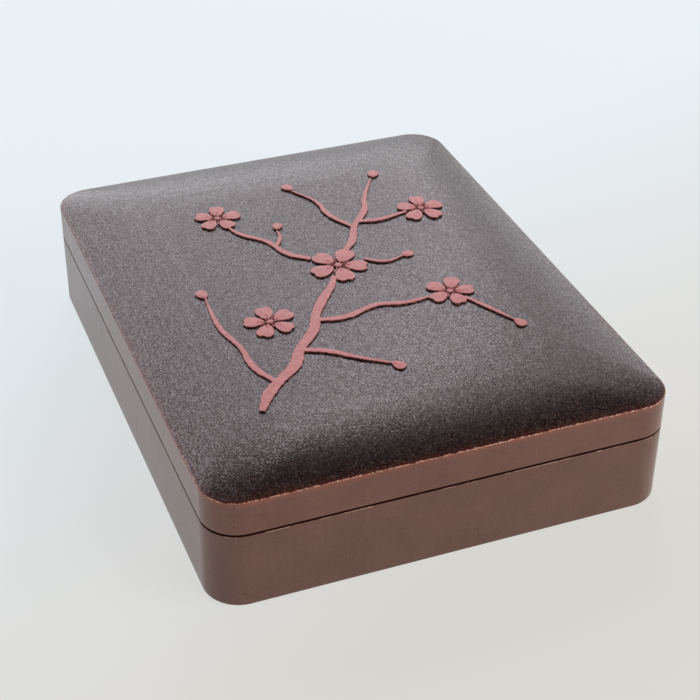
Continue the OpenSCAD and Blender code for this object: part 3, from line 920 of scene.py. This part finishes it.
def uneven(outline, amount):
    """Moves a ring's points in and out a little, as handling wears an edge."""
    moved = []
    for i, p in enumerate(outline):
        along = outline[(i + 1) % len(outline)] - outline[i - 1]
        outward = Vector((along.y, -along.x, 0)).normalized()
        shift = noise.noise(p / (4 * MM)) + 0.8 * noise.noise(p / (1.7 * MM))
        moved.append(p - outward * amount * (0.6 + shift))
    return moved


shares = [(FIRST_SHARE + (1 - FIRST_SHARE) * k / BAND_STEPS) ** 1.5 for k in range(BAND_STEPS + 1)]
rings = [ring(TONGUE_IN, ceiling_z), ring(TONGUE_IN, seat_z), ring(0, seat_z)]
rings += [uneven(ridge_ring(a), RIDGE_WEAR) for a in RIDGE_TURNS]
rings += [crown_ring(share) for share in shares]
flat = rings[-1]
for k in range(1, FLAT_STEPS):
    rings.append([Vector((p.x * (1 - k / FLAT_STEPS), p.y * (1 - k / FLAT_STEPS), p.z)) for p in flat])
crown_shape = loft(rings, caps=True)
print("rings in the crown:", len(rings))

# %% [markdown]
# ## The crown as a piece
#
# The stone coat covers the top and turns over the ridge. Below it the panel's edge is brown like the rails,
# and the tongue between them is black. Three pieces could carry the three coats, but one mesh whose faces
# choose their finish leaves no seam.

# %% Crown piece
def crown_finish(face):
    if face.center.z > ridge_z - 0.25 * MM:
        return 0
    return 1 if is_outside(face) else 2


def from_ridge(co):
    """Distance to the ridge: down the side, or in across the crown."""
    down = ridge_z - co.z
    return down if down > 0.3 * MM else inset_of(co)


crown = new_piece("crown", *crown_shape, "lid", "stone_lacquer",
                  ["stone_lacquer", "lid_lacquer", "black_lacquer"], ["crown_panel"], crown_finish)
store(crown, "from_edge", from_ridge)

# %% [markdown]
# ## The raised ornament
#
# A plum branch in coral lacquer stands about a millimetre proud of the crown. On the real lid, thick coats
# are built up and then cut back to the outline with a knife, so the top stays flat, the sides are upright
# and dark, and the outline has small facets. The sides' finish also carries painted shade. A displaced crown
# would blur those sides. So each stroke is a ribbon and each petal a small plate, dropped on to the crown.

# %% Where the ornament lies
# The bough and its twigs, each a list of x, y and half width in mm.
BRANCHES = [
    [(-60, -78, 1.2), (-54, -68, 2.6), (-46, -61, 1.9), (-38, -55, 2.7), (-34, -45, 1.8), (-24, -36, 2.4),
     (-19, -24, 1.7), (-13, -15, 2.2), (-5, -6, 1.5), (-1.8, 0.4, 1.2)],
    [(10, 18, 1.2), (17, 26, 1.9), (21, 37, 1.2), (31, 47, 1.6), (34, 58, 1.0), (44, 74, 0.4)],
    [(-49, -63, 1.0), (-55, -50, 1.5), (-54, -36, 1.0), (-59, -20, 1.2), (-57, 4, 0.3)],
    [(-6, 17, 1.1), (-15, 24, 1.5), (-18, 37, 1.0), (-28, 46, 1.2), (-31, 54, 0.5)],
    [(-17, 31, 0.8), (-12, 38, 1.0), (-12, 44, 0.3)],
    [(-20, -28, 1.2), (-8, -31, 1.6), (6, -25, 1.1), (18, -29, 1.3), (29, -28, 0.5)],
    [(42.8, -33, 0.7), (49, -44, 1.1), (55, -56, 0.3)],
    [(23, 40, 0.9), (33, 37, 1.3), (47.6, 40.3, 0.6)],
    [(-33, -46, 1.1), (-23, -50, 1.5), (-15, -58, 1.0), (-2.2, -67, 0.5)],
    [(21, 35, 0.9), (13, 50, 1.3), (14, 62, 0.8), (6, 75, 0.3)],
    [(15, 9, 0.7), (23, 3, 1.0), (32, 6, 0.3)],
]
# x, y, turn in degrees and petal length
BLOSSOMS = [(3, 8, 50, 10.5), (-38, -23, 20, 9), (-33, 63, 75, 8.5), (55, 41, 10, 9), (39, -27, 60, 8.5)]
# x, y, turn in degrees and length
BUDS = [(-57, 3, 100, 6.4), (45, 75, 60, 6.6), (6, 76, 105, 6.2), (-3, -66, -55, 6.2), (55, -55, -70, 6),
        (-12, 45, 60, 5.6), (31, 6, 10, 5.8)]

crown_tree = BVHTree.FromPolygons(*crown_shape)


def on_crown(x, y, lift):
    """A point lift mm above the crown, from x and y in mm."""
    hit = crown_tree.ray_cast(Vector((x * MM, y * MM, 1)), Vector((0, 0, -1)))[0]
    return Vector((x * MM, y * MM, hit.z + lift * MM))


print("strokes, blossoms and buds:", len(BRANCHES), len(BLOSSOMS), len(BUDS))

# %% [markdown]
# ## Cutting strokes and petals
#
# The same few forms make the whole branch, and later the small gilt blossom on the ink stick. They could be
# modelled twice, but a class that is told which surface it works on needs writing only once. It wobbles each
# outline a little, which gives the facets of a knife. Its sizes are in millimetres.

# %% Cutter
SINK = 0.4              # how deep a form reaches below the surface
BEVEL = 0.14            # bevel between a form's top and its cut side
LEAST_HALF = 0.12       # least half width of a stroke
STROKE_STEP = 0.9       # length of a stroke's facets
STROKE_KINDS = (1, 0, 0, 0, 0, 1, 1)
PETAL_STEPS = 32
HEART_GAP = 2.4         # from a blossom's middle to its petals, where these are FULL_PETAL long
FULL_PETAL = 9.5

rng = random.Random(11)


class Cutter:
    """Collects closed forms on a surface, with a finish number per face: 0 on top and 1 at a cut side."""

    def __init__(self, surface):
        self.surface, self.vertices, self.faces, self.kinds = surface, [], [], []

    def form(self, rows, kind_of, ends):
        """Joins closed rows of (x, y, lift) and caps both ends. kind_of(row, side) is a finish number."""
        points, faces = loft(rows, caps=True)
        start = len(self.vertices)
        self.vertices += [self.surface(*p) for p in points]
        self.faces += [tuple(start + i for i in face) for face in faces]
        self.kinds += [kind_of(row, side) for row in range(len(rows) - 1) for side in range(len(rows[0]))]
        self.kinds += ends

    def stroke(self, path, height, rough=0.1):
        """A ribbon along [(x, y, half width)], with its corners cut twice and its width made uneven."""
        line = [Vector(p) for p in path]
        for _ in range(2):
            cut = [a.lerp(b, t) for a, b in zip(line, line[1:]) for t in (0.25, 0.75)]
            line = [line[0]] + cut + [line[-1]]
        dense = []
        for a, b in zip(line, line[1:]):
            parts = max(1, round((b - a).xy.length / STROKE_STEP))
            dense += [a.lerp(b, k / parts) for k in range(parts)]
        dense.append(line[-1])
        sections = []
        for i, p in enumerate(dense):
            t = (dense[min(i + 1, len(dense) - 1)] - dense[max(i - 1, 0)]).xy.normalized()
            left, right = (
                max(LEAST_HALF, p.z * (1 + rng.uniform(-rough, rough)) + rng.uniform(-rough, rough))
                for _ in range(2))
            bevel = min(BEVEL, 0.4 * min(left, right))
            across = ((left, -SINK), (left, height - bevel), (left - bevel, height), (0, height + 0.03),
                      (bevel - right, height), (-right, height - bevel), (-right, -SINK))
            sections.append([(p.x - t.y * w, p.y + t.x * w, z) for w, z in across])
        self.form(sections, lambda row, side: STROKE_KINDS[side], [1, 1])

    def patch(self, outline, height, dome=0.1):
        """A flat, slightly domed form whose outline is seen whole from its middle."""
        mx, my = (sum(p[k] for p in outline) / len(outline) for k in (0, 1))
        reach = max(math.hypot(x - mx, y - my) for x, y in outline)

        def level(scale, lift):
            return [(mx + (x - mx) * scale, my + (y - my) * scale, lift) for x, y in outline]

        rows = [level(1, -SINK), level(1, height - BEVEL), level(1 - 0.15 / reach, height)]
        rows += [level(s, height + dome * (1 - s * s)) for s in (0.7, 0.4, 0.12)]
        self.form(rows, lambda row, side: 1 if row == 0 else 0, [1, 0])

    def petal(self, x, y, turn, size, height, notch=0.1):
        """A petal from its root at (x, y), broad end outwards."""
        cos_turn, sin_turn = math.cos(math.radians(turn)), math.sin(math.radians(turn))
        outline = []
        for k in range(PETAL_STEPS):
            a = 2 * math.pi * k / PETAL_STEPS
            dent = notch * max(0, math.cos(a)) ** 40
            u = size * (0.5 + (0.5 - dent) * math.cos(a) + rng.uniform(-0.008, 0.008))
            v = 0.5 * size * math.sin(a) * (0.76 + 0.24 * math.cos(a) + rng.uniform(-0.012, 0.012))
            outline.append((x + u * cos_turn - v * sin_turn, y + u * sin_turn + v * cos_turn))
        self.patch(outline, height)

    def disc(self, x, y, r, height, sides=14):
        angles = [2 * math.pi * k / sides for k in range(sides)]
        self.patch([(x + r * math.cos(a), y + r * math.sin(a)) for a in angles], height, 0.15)

    def blossom(self, x, y, turn, size, height):
        """Five petals, a heart, and stamens that end in small knobs."""
        gap = HEART_GAP * size / FULL_PETAL
        for k in range(5):
            a = math.radians(turn + 72 * k)
            self.petal(x + gap * math.cos(a), y + gap * math.sin(a), turn + 72 * k + rng.uniform(-3, 3),
                       size * rng.uniform(0.96, 1.02), height * rng.uniform(0.95, 1.05))
        self.disc(x, y, 0.6 * gap, height * 1.1)
        for k in range(10):
            a = math.radians(turn + 36 * k + rng.uniform(-6, 6))
            far = size * rng.uniform(0.42, 0.6)
            self.stroke([(x + 0.5 * gap * math.cos(a), y + 0.5 * gap * math.sin(a), 0.2),
                         (x + far * math.cos(a), y + far * math.sin(a), 0.15)], height + 0.16, 0.02)
            self.disc(x + far * math.cos(a), y + far * math.sin(a), 0.42, height + 0.24, 8)

    def bud(self, x, y, turn, size, height):
        """A closed bud in its small cup."""
        self.petal(x, y, turn, size, height, 0)
        self.petal(x, y, turn, 0.45 * size, height + 0.15, 0)


print("finish numbers across a stroke:", STROKE_KINDS)

# %% [markdown]
# ## The branch
#
# Where a twig leaves the bough, both tops would lie at one level and flicker. A union would cut them apart,
# but it often fails on such shallow forms, so each stroke stands a hundredth of a millimetre higher than the
# last.

# %% Branch
BRANCH_H = 0.74
BRANCH_RISE = 0.012
BLOSSOM_H = 0.84
BUD_H = 0.8

ornament = Cutter(on_crown)
for number, branch in enumerate(BRANCHES):
    ornament.stroke(branch, BRANCH_H + BRANCH_RISE * number)
for x, y, turn, size in BLOSSOMS:
    ornament.blossom(x, y, turn, size, BLOSSOM_H)
for x, y, turn, size in BUDS:
    ornament.bud(x, y, turn, size, BUD_H)
new_piece("plum_branch", ornament.vertices, ornament.faces, "lid", "red_lacquer",
          ["coral_lacquer", "shaded_cut_side"], ["plum_relief"], lambda face: ornament.kinds[face.index], 30)

# %% [markdown]
# ## The ink stone
#
# Ink is ground on the stone's flat land with a little water, and runs down into the pool at its back. Years
# of grinding leave a shallow, polished hollow in the land. The face could be cut from a block with a
# boolean, but that leaves long thin faces. Here it is a grid whose rows narrow in the rounded corners, so
# that its outer edge meets the rim's inner wall point by point.

# %% The stone's face
stone_low, stone_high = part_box("ink_stone")
stone_x, stone_y = (stone_low.x + stone_high.x) / 2, (stone_low.y + stone_high.y) / 2
stone_w, stone_l = stone_high.x - stone_low.x, stone_high.y - stone_low.y
top_z = stone_high.z
STONE_R = 4 * MM
STONE_RIM = 6 * MM
LAND_D = 1.2 * MM
POOL_R = 34 * MM
POOL_D = 8 * MM
POOL_BACK = 12 * MM
POOL_EASE = 0.7 * MM
HOLLOW_D = 0.35 * MM
STONE_STEPS = (26, 6, 80)

land_w, land_l = stone_w - 2 * STONE_RIM, stone_l - 2 * STONE_RIM
pool_y = land_l / 2 - POOL_BACK


def bell(x, y, at_y, wide, long):
    """1 at (0, at_y), falling off smoothly over about wide and long mm."""
    return math.exp(-((x / (wide * MM)) ** 2 + ((y - at_y * MM) / (long * MM)) ** 2))


def face_z(x, y):
    """Height of the grinding face, with x and y from the stone's middle."""
    land = top_z - LAND_D - HOLLOW_D * bell(x, y, -22, 22, 30)
    off = y - pool_y
    if abs(off) >= POOL_R * 0.99:
        return land
    pool = top_z - POOL_D + POOL_R - math.sqrt(POOL_R ** 2 - off ** 2)
    h = max(0, min(1, 0.5 + 0.5 * (pool - land) / POOL_EASE))
    return pool * (1 - h) + land * h - POOL_EASE * h * (1 - h)


def grid_rows(width, length, r, steps):
    """Rows (y, half width) of a rounded rectangle, from front to back."""
    _, corner, long = steps
    angles = [math.pi / 2 * k / corner for k in range(corner + 1)]
    bend = [(length / 2 - r + r * math.cos(a), width / 2 - r + r * math.sin(a)) for a in angles]
    rows = [(-y, half) for y, half in bend]
    rows += [((-1 + 2 * k / long) * (length / 2 - r), width / 2) for k in range(1, long)]
    return rows + [(y, half) for y, half in reversed(bend)]


rows = grid_rows(land_w, land_l, STONE_R, STONE_STEPS)
across = STONE_STEPS[0] + 1
vertices, faces = [], []
for y, half in rows:
    for i in range(across):
        x = half * (-1 + 2 * i / STONE_STEPS[0])
        vertices.append(Vector((stone_x + x, stone_y + y, face_z(x, y))))
for j in range(len(rows) - 1):
    for i in range(across - 1):
        first, above = j * across + i, (j + 1) * across + i
        faces.append((first, first + 1, above + 1, above))
print("points in the stone's face:", len(vertices))

# %% [markdown]
# ## The stone's rim and stain
#
# From the face's outer edge, loops go up the rim's inner wall, over its rounded top, down the outside, and
# under the foot. The stain could be painted, but ink collects where the face lies deep and where it is
# ground, so its share is worked out from the depth.

# %% The stone's rim
# Loops round the face: how far out from it, and how far below the top, in mm
INNER_LOOPS = ((0.02, 0.6), (0.15, 0.25), (0.45, 0.06), (0.9, 0))
# Loops round the outside: how far in from it, and how far below the top, in mm
OUTER_LOOPS = ((1.2, 0), (0.6, 0.1), (0.2, 0.4), (0, 1.1), (0, 8))


def inner_loop(out, z):
    return plan_loop(land_w + 2 * out, land_l + 2 * out, STONE_R, z, STONE_STEPS, (stone_x, stone_y))


def outer_loop(inset, z):
    width, length = stone_w - 2 * inset, stone_l - 2 * inset
    return plan_loop(width, length, STONE_R - inset, z, STONE_STEPS, (stone_x, stone_y))


def inkiness(co):
    """How much ink has stained a place: all over the pool, and lightly on the worn land."""
    x, y = co.x - stone_x, co.y - stone_y
    if abs(x) > land_w / 2 + 0.1 * MM or abs(y) > land_l / 2 + 0.1 * MM or co.z > top_z - 0.5 * MM:
        return 0
    depth = (top_z - LAND_D - co.z) / (2.5 * MM)
    return min(1, max(depth, 0) + 0.45 * bell(x, y, -14, 20, 36))


loops = [inner_loop(out * MM, top_z - drop * MM) for out, drop in INNER_LOOPS]
loops += [outer_loop(inset * MM, top_z - drop * MM) for inset, drop in OUTER_LOOPS]
loops += [outer_loop(0, stone_low.z + 0.8 * MM), outer_loop(0.5 * MM, stone_low.z)]

last_row = (len(rows) - 1) * across
previous = list(range(across - 1))
previous += [j * across + across - 1 for j in range(len(rows) - 1)]
previous += [last_row + i for i in range(across - 1, 0, -1)]
previous += [j * across for j in range(len(rows) - 1, 0, -1)]
for loop in loops:
    current = list(range(len(vertices), len(vertices) + len(loop)))
    vertices += loop
    for i in range(len(loop)):
        k = (i + 1) % len(loop)
        faces.append((previous[i], previous[k], current[k], current[i]))
    previous = current
faces.append(tuple(previous))
stone = new_piece("grinding_stone", vertices, faces, "stone", "slate", ["slate"], ["ink_stone"])
store(stone, "inky", inkiness)

# %% [markdown]
# ## The ink stick
#
# An ink stick is pressed in a carved wooden mould, so its broad face has a raised border round a sunk panel.
# One end is worn slantwise, as that is the end that is ground. A bevelled block would need its panel cut out
# afterwards. Sections across the stick carry the panel along with them.

# %% Ink stick
stick_low, stick_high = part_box("ink_stick")
stick_c = (stick_low + stick_high) / 2
stick_size = stick_high - stick_low
STICK_R = 2 * MM
STICK_STEPS = 5
BORDER = 2.2 * MM
PANEL_SLOPE = 0.3 * MM
PANEL_D = 0.4 * MM
PANEL_STEP = 5.4
WEAR_SLANT = 1.6


def stick_section(x, shrink, wear):
    """A rounded section across the stick, whose top is let down between the borders."""
    h_y, h_z, r = stick_size.y / 2 - shrink, stick_size.z / 2 - shrink, STICK_R
    panel_y = h_y - BORDER - PANEL_SLOPE
    flat = [h_y - r - 0.01 * MM, h_y - BORDER, panel_y, 0.6 * panel_y, 0.3 * panel_y, 0]
    angles = [math.radians(90 * k / STICK_STEPS) for k in range(STICK_STEPS + 1)]
    one_side = [(h_y - r + r * math.cos(a), h_z - r + r * math.sin(a)) for a in angles]
    one_side += [(y, h_z) for y in flat]
    under = [(-(h_y - r) - r * math.sin(a), -(h_z - r) - r * math.cos(a)) for a in reversed(angles)]
    outline = one_side + [(-y, z) for y, z in reversed(one_side)][1:]
    outline += under + [(-y, z) for y, z in reversed(under)]
    inside = abs(x - stick_c.x) < stick_size.x / 2 - BORDER - 0.2 * MM
    points = []
    for y, z in outline:
        if inside and z > h_z - 0.01 * MM and abs(y) < h_y - BORDER - 0.1 * MM:
            z -= PANEL_D
        slant = wear * (z / stick_size.z + 0.5) * WEAR_SLANT
        points.append(Vector((x - slant, stick_c.y + y, stick_c.z + z)))
    return points


left_x, right_x = stick_low.x, stick_high.x
stations = [(left_x, 0.6 * MM, 0), (left_x + 0.2 * MM, 0.2 * MM, 0), (left_x + 0.7 * MM, 0, 0),
            (left_x + BORDER, 0, 0), (left_x + BORDER + 0.35 * MM, 0, 0)]
stations += [(left_x + BORDER + (0.35 + k * PANEL_STEP) * MM, 0, 0) for k in range(1, 13)]
stations += [(right_x - BORDER - PANEL_SLOPE, 0, 0), (right_x - BORDER, 0, 0.1 * MM),
             (right_x - 0.5 * MM, 0.05 * MM, MM), (right_x, 0.35 * MM, MM)]
new_piece("pressed_stick", *loft([stick_section(*s) for s in stations], caps=True), "stick", "ink",
          ["pressed_ink"], ["ink_stick"])

# %% [markdown]
# ## The gilt blossom
#
# The sunk panel bears a small blossom between two sprigs, painted with gold. A coloured patch in the ink's
# finish would do from afar, but gold lies thick enough to catch the light at its edges, so it is cut with
# the same forms as the branch, at half the height.

# %% Gilt blossom
GILT_SHARE = 0.5
SPRIG = ((9, -2, 0.3), (15, 2.2, 0.5), (24, -0.5, 0.2))


def on_stick(x, y, lift):
    return Vector((x * MM, y * MM, stick_high.z - PANEL_D + lift * MM * GILT_SHARE))


badge_x, badge_y = stick_c.x / MM, stick_c.y / MM
badge = Cutter(on_stick)
badge.blossom(badge_x, badge_y, 18, 3.6, 0.5)
for side in (-1, 1):
    badge.stroke([(badge_x + side * x, badge_y + y, half) for x, y, half in SPRIG], 0.45, 0.04)
new_piece("gilt_blossom", badge.vertices, badge.faces, "stick", "ink", ["gilt"], sharp=30)

# %% [markdown]
# ## Turned forms
#
# The water dropper is spun from thin brass, and the brushes' handles, collars and caps are all round. The
# Screw modifier could turn a profile too. This function also lets the radius change round the turn, which
# the hair needs, and closes the ends on the axis with triangles.

# %% Turning
ON_AXIS = 1e-7


def turn(profile, steps, place, closed=False, radius=lambda r, along, a: r):
    """Turns (radius, along) points round an axis. place maps (across, up, along) to a point of the scene."""
    vertices, faces, rows = [], [], []
    for r, along in profile:
        if r < ON_AXIS:
            rows.append([len(vertices)])
            vertices.append(place(0, 0, along))
            continue
        rows.append(list(range(len(vertices), len(vertices) + steps)))
        for k in range(steps):
            a = 2 * math.pi * k / steps
            reach = radius(r, along, a)
            vertices.append(place(reach * math.cos(a), reach * math.sin(a), along))
    if closed:
        rows.append(rows[0])
    for low, high in zip(rows, rows[1:]):
        for k in range(steps):
            n = (k + 1) % steps
            corners = [low[k % len(low)], low[n % len(low)], high[n % len(high)], high[k % len(high)]]
            face = tuple(dict.fromkeys(corners))
            if len(face) > 2:
                faces.append(face)
    return vertices, faces


print("a turned cone has faces:", len(turn([(0, 0), (MM, MM)], 24, lambda *p: Vector(p))[1]))

# %% [markdown]
# ## The water dropper
#
# A fingertip over the hole in the top holds the water back, and lifting it lets a drop out at the spout. A
# solid form would look the same from outside, but the hole would be blind. So the profile runs down the
# outside and back up the inside of a thin sheet, with a rolled edge at the hole and a small foot ring.

# %% Water dropper
drop_low, drop_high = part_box("dropper_base")
drop_r = (drop_high.x - drop_low.x) / 2
drop_x, drop_y = drop_low.x + drop_r, (drop_low.y + drop_high.y) / 2
DROP_H = 17 * MM
DROP_HOLE = 2.2 * MM
SHOULDER = 7 * MM
SHEET = 1 * MM


def drop_place(across, up, along):
    return Vector((drop_x + across, drop_y + up, drop_low.z + along))


def shoulder(inset, a):
    """A point of the rounded shoulder, from its foot at angle 0 to the hole."""
    r, h = drop_r - inset, DROP_H - inset
    reach = DROP_HOLE + (r - DROP_HOLE) * max(0, math.cos(a)) ** 0.8
    return reach, h - SHOULDER + SHOULDER * math.sin(a) ** 1.1


quarter = [math.pi / 2 * k / 16 for k in range(17)]
outer = [(0, 0), (drop_r - 0.9 * MM, 0), (drop_r - 0.2 * MM, 0.15 * MM), (drop_r, 0.7 * MM),
         (drop_r - 0.15 * MM, 1.5 * MM), (drop_r - 0.3 * MM, 1.9 * MM), (drop_r - 0.1 * MM, 2.6 * MM)]
outer += [shoulder(0, a) for a in quarter[:-1]]
roll = [(DROP_HOLE + 0.5 * MM + 0.45 * MM * math.cos(a), DROP_H - 0.12 * MM + 0.4 * MM * math.sin(a))
        for a in (math.radians(20 + 32 * k) for k in range(6))]
inner = [shoulder(SHEET, a) for a in reversed(quarter)]
inner += [(drop_r - SHEET, SHEET + 0.3 * MM), (drop_r - SHEET - 0.3 * MM, SHEET), (0, SHEET)]
new_piece("dropper_shell", *turn(outer + roll + inner, 72, drop_place), "dropper", "brass", ["brass"],
          ["dropper_base", "dropper_body"])

# %% [markdown]
# ## The dropper's spout
#
# The spout is a short tube, soldered into the shoulder and tilted outwards, with a rolled lip. It is turned
# like the body, round an axis of its own, which is simpler than bending it out of the body's sheet.

# %% Spout
SPOUT_R, SPOUT_BORE, SPOUT_L = 2.6 * MM, 1.6 * MM, 8 * MM
SPOUT_TILT = math.radians(50)
spout_root = Vector((drop_x + drop_r - 3.2 * MM, drop_y, drop_low.z + DROP_H - 6.2 * MM))


def spout_place(across, up, along):
    return spout_root + Vector((across * math.cos(SPOUT_TILT) + along * math.sin(SPOUT_TILT), up,
                                -across * math.sin(SPOUT_TILT) + along * math.cos(SPOUT_TILT)))


spout = [(SPOUT_BORE, 0), (SPOUT_R, 0), (SPOUT_R * 0.97, 3.5 * MM), (SPOUT_R * 0.86, 5.5 * MM),
         (SPOUT_R * 0.88, 6.9 * MM), (SPOUT_R, SPOUT_L - 0.45 * MM), (SPOUT_R * 0.96, SPOUT_L - 0.1 * MM),
         (SPOUT_R * 0.84, SPOUT_L), (SPOUT_BORE * 1.1, SPOUT_L - 0.2 * MM), (SPOUT_BORE, SPOUT_L - 0.8 * MM)]
new_piece("dropper_spout", *turn(spout, 40, spout_place, closed=True), "dropper", "brass", ["brass"])

# %% [markdown]
# ## The brushes
#
# A brush is a length of bamboo with a horn button at one end and a horn collar at the other, and the hair is
# bound and glued in the collar. Each part could be placed by hand, but both brushes are made alike, so a
# class holds what differs: the name, the radii and the axis. Its parts are turned round that axis.

# %% A brush
TURN_STEPS = 48


class Brush:
    """A brush that lies along Y."""

    def __init__(self, name, cane_r, collar_r, hair_r):
        self.name, self.cane_r, self.collar_r, self.hair_r = name, cane_r, collar_r, hair_r
        low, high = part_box(f"{name}_handle")
        self.x, self.z = (low.x + high.x) / 2, (low.z + high.z) / 2

    def span(self, part):
        """Where a part of the brush starts and ends along Y."""
        low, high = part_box(f"{self.name}_{part}")
        return low.y, high.y

    def place(self, across, up, along):
        return Vector((self.x + across, along, self.z + up))

    def turned(self, label, profile, slot, finish, part, body="brush", steps=TURN_STEPS, **turning):
        """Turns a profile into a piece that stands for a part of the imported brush."""
        shape = turn(profile, steps, self.place, **turning)
        return new_piece(f"{self.name}_{label}", *shape, f"{self.name}_{body}", slot, [finish],
                         [f"{self.name}_{part}"])


large = Brush("large", 4.7 * MM, 5.4 * MM, 4.2 * MM)
small = Brush("small", 3.1 * MM, 3.7 * MM, 2.7 * MM)
print("brush axes, mm:", [(round(b.x / MM, 1), round(b.z / MM, 1)) for b in (large, small)])

# %% [markdown]
# ## Handle and cap
#
# The rind of the cane has a raised ring where each joint of the plant was, with a shallow groove beside it.
# A bump in the finish would not change the outline, so the ring is in the profile. The cap is a wider length
# of the same cane, closed at the end by its own joint.

# %% Bamboo parts
def every_mm(start, end):
    """Places about a millimetre apart between two ends, without the ends."""
    count = round((end - start) / MM)
    return [start + (end - start) * k / count for k in range(1, count)]


def ringed(r, y, joints):
    """The cane's radius at y: a raised ring at each joint, and a shallow groove beside it."""
    rings = sum(0.22 * MM * math.exp(-((y - j) / (0.55 * MM)) ** 2)
                - 0.12 * MM * math.exp(-((y - j - 1.4 * MM) / (0.7 * MM)) ** 2) for j in joints)
    return r + rings


def mark_joints(piece, joints):
    """Stores how dark the rind is, which is darkest at the joints."""
    store(piece, "node_ring", lambda co: max(0.8 * math.exp(-((co.y - j) / (0.5 * MM)) ** 2) for j in joints))


def make_cane(brush, joints):
    start, end = brush.span("handle")
    r = brush.cane_r - 0.06 * MM
    stem = [(0, start), (r, start)] + [(ringed(r, y, joints), y) for y in every_mm(start, end)]
    cane = brush.turned("cane", stem + [(r, end), (0, end)], "bamboo", "bamboo", "handle")
    mark_joints(cane, joints)


def make_cover(brush):
    low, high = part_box(f"{brush.name}_cap")
    start, end, outer_r = low.y, high.y, (high.x - low.x) / 2 - 0.1 * MM
    inner_r = brush.collar_r + 0.35 * MM
    joints = [end - 5 * MM]
    cap = [(inner_r, start + 0.2 * MM), (outer_r - 0.3 * MM, start), (outer_r, start + 0.4 * MM)]
    cap += [(ringed(outer_r, y, joints), y) for y in every_mm(start, end)]
    cap += [(outer_r - 0.25 * MM, end - 0.08 * MM), (outer_r - 0.7 * MM, end), (0, end - 0.15 * MM),
            (0, end - 2 * MM), (inner_r, end - 2 * MM)]
    cover = brush.turned("cover", cap, "bamboo", "bamboo", "cap", "brush_cap", closed=True)
    mark_joints(cover, joints)


print("rings between the handle's ends:", len(every_mm(*large.span("handle"))))

# %% [markdown]
# ## Button, collar and hair
#
# The horn parts are turned on a lathe, so their profiles have its beads and grooves. Wet and dried, the hair
# gathers in locks and swells to a belly behind its point. Thousands of strands could make it up, but in a
# capped brush a body with soft flutes says the same.

# %% Horn and hair parts
HAIR_STEPS = 41


def make_button(brush):
    start, end = brush.span("end")
    r, h = brush.cane_r, end - start
    angles = [math.radians(6 * k) for k in range(16)]
    button = [(0, end), (r, end)] + [(r * (0.55 + 0.45 * math.cos(a)), end - h * math.sin(a)) for a in angles]
    button += [(r * 0.3, start + 0.15 * MM), (0, start + 0.3 * MM)]
    brush.turned("button", button, "horn", "horn", "end")


def make_ferrule(brush):
    start, end = brush.span("collar")
    r, hair_r = brush.collar_r, brush.hair_r
    ferrule = [(0, start), (r - 0.3 * MM, start), (r, start + 0.3 * MM), (r, start + 1.1 * MM),
               (r - 0.25 * MM, start + 1.4 * MM), (r - 0.25 * MM, start + 1.8 * MM), (r, start + 2.1 * MM),
               (r - 0.05 * MM, end - 1.2 * MM), (r - 0.3 * MM, end - 0.2 * MM), (r - 0.6 * MM, end),
               (hair_r + 0.05 * MM, end - 0.1 * MM), (hair_r, end - 0.5 * MM), (hair_r, start + 3 * MM),
               (0, start + 3 * MM)]
    brush.turned("ferrule", ferrule, "horn", "horn", "collar")


def make_hair(brush, flutes):
    root, tip = brush.span("tuft")
    free = brush.span("collar")[1]
    swell = [(0, root), (brush.hair_r, root), (brush.hair_r, free)]
    for k in range(1, HAIR_STEPS):
        t = k / HAIR_STEPS
        belly = (1 + 0.55 * math.sin(math.pi * t ** 0.8) * (1 - t)) * (1 - t ** 2.6)
        swell.append((brush.hair_r * belly, free + (tip - free) * t))
    seed = noise.noise(Vector((brush.x / MM, 0, 0)))

    def fluted(r, along, a):
        t = max(0, (along - free) / (tip - free))
        lock = noise.noise(Vector((math.cos(a) * flutes, math.sin(a) * flutes, along / (14 * MM) + seed)))
        return r * (1 + 0.10 * min(1, 3 * t) * lock)

    brush.turned("hair", swell + [(0, tip)], "hair", "goat_hair", "tuft", steps=96, radius=fluted)


for brush, joints, flutes in ((large, [-52 * MM, 2 * MM], 7), (small, [-70 * MM, -14 * MM], 5)):
    make_cane(brush, joints)
    make_button(brush)
    make_ferrule(brush)
    make_hair(brush, flutes)
    make_cover(brush)
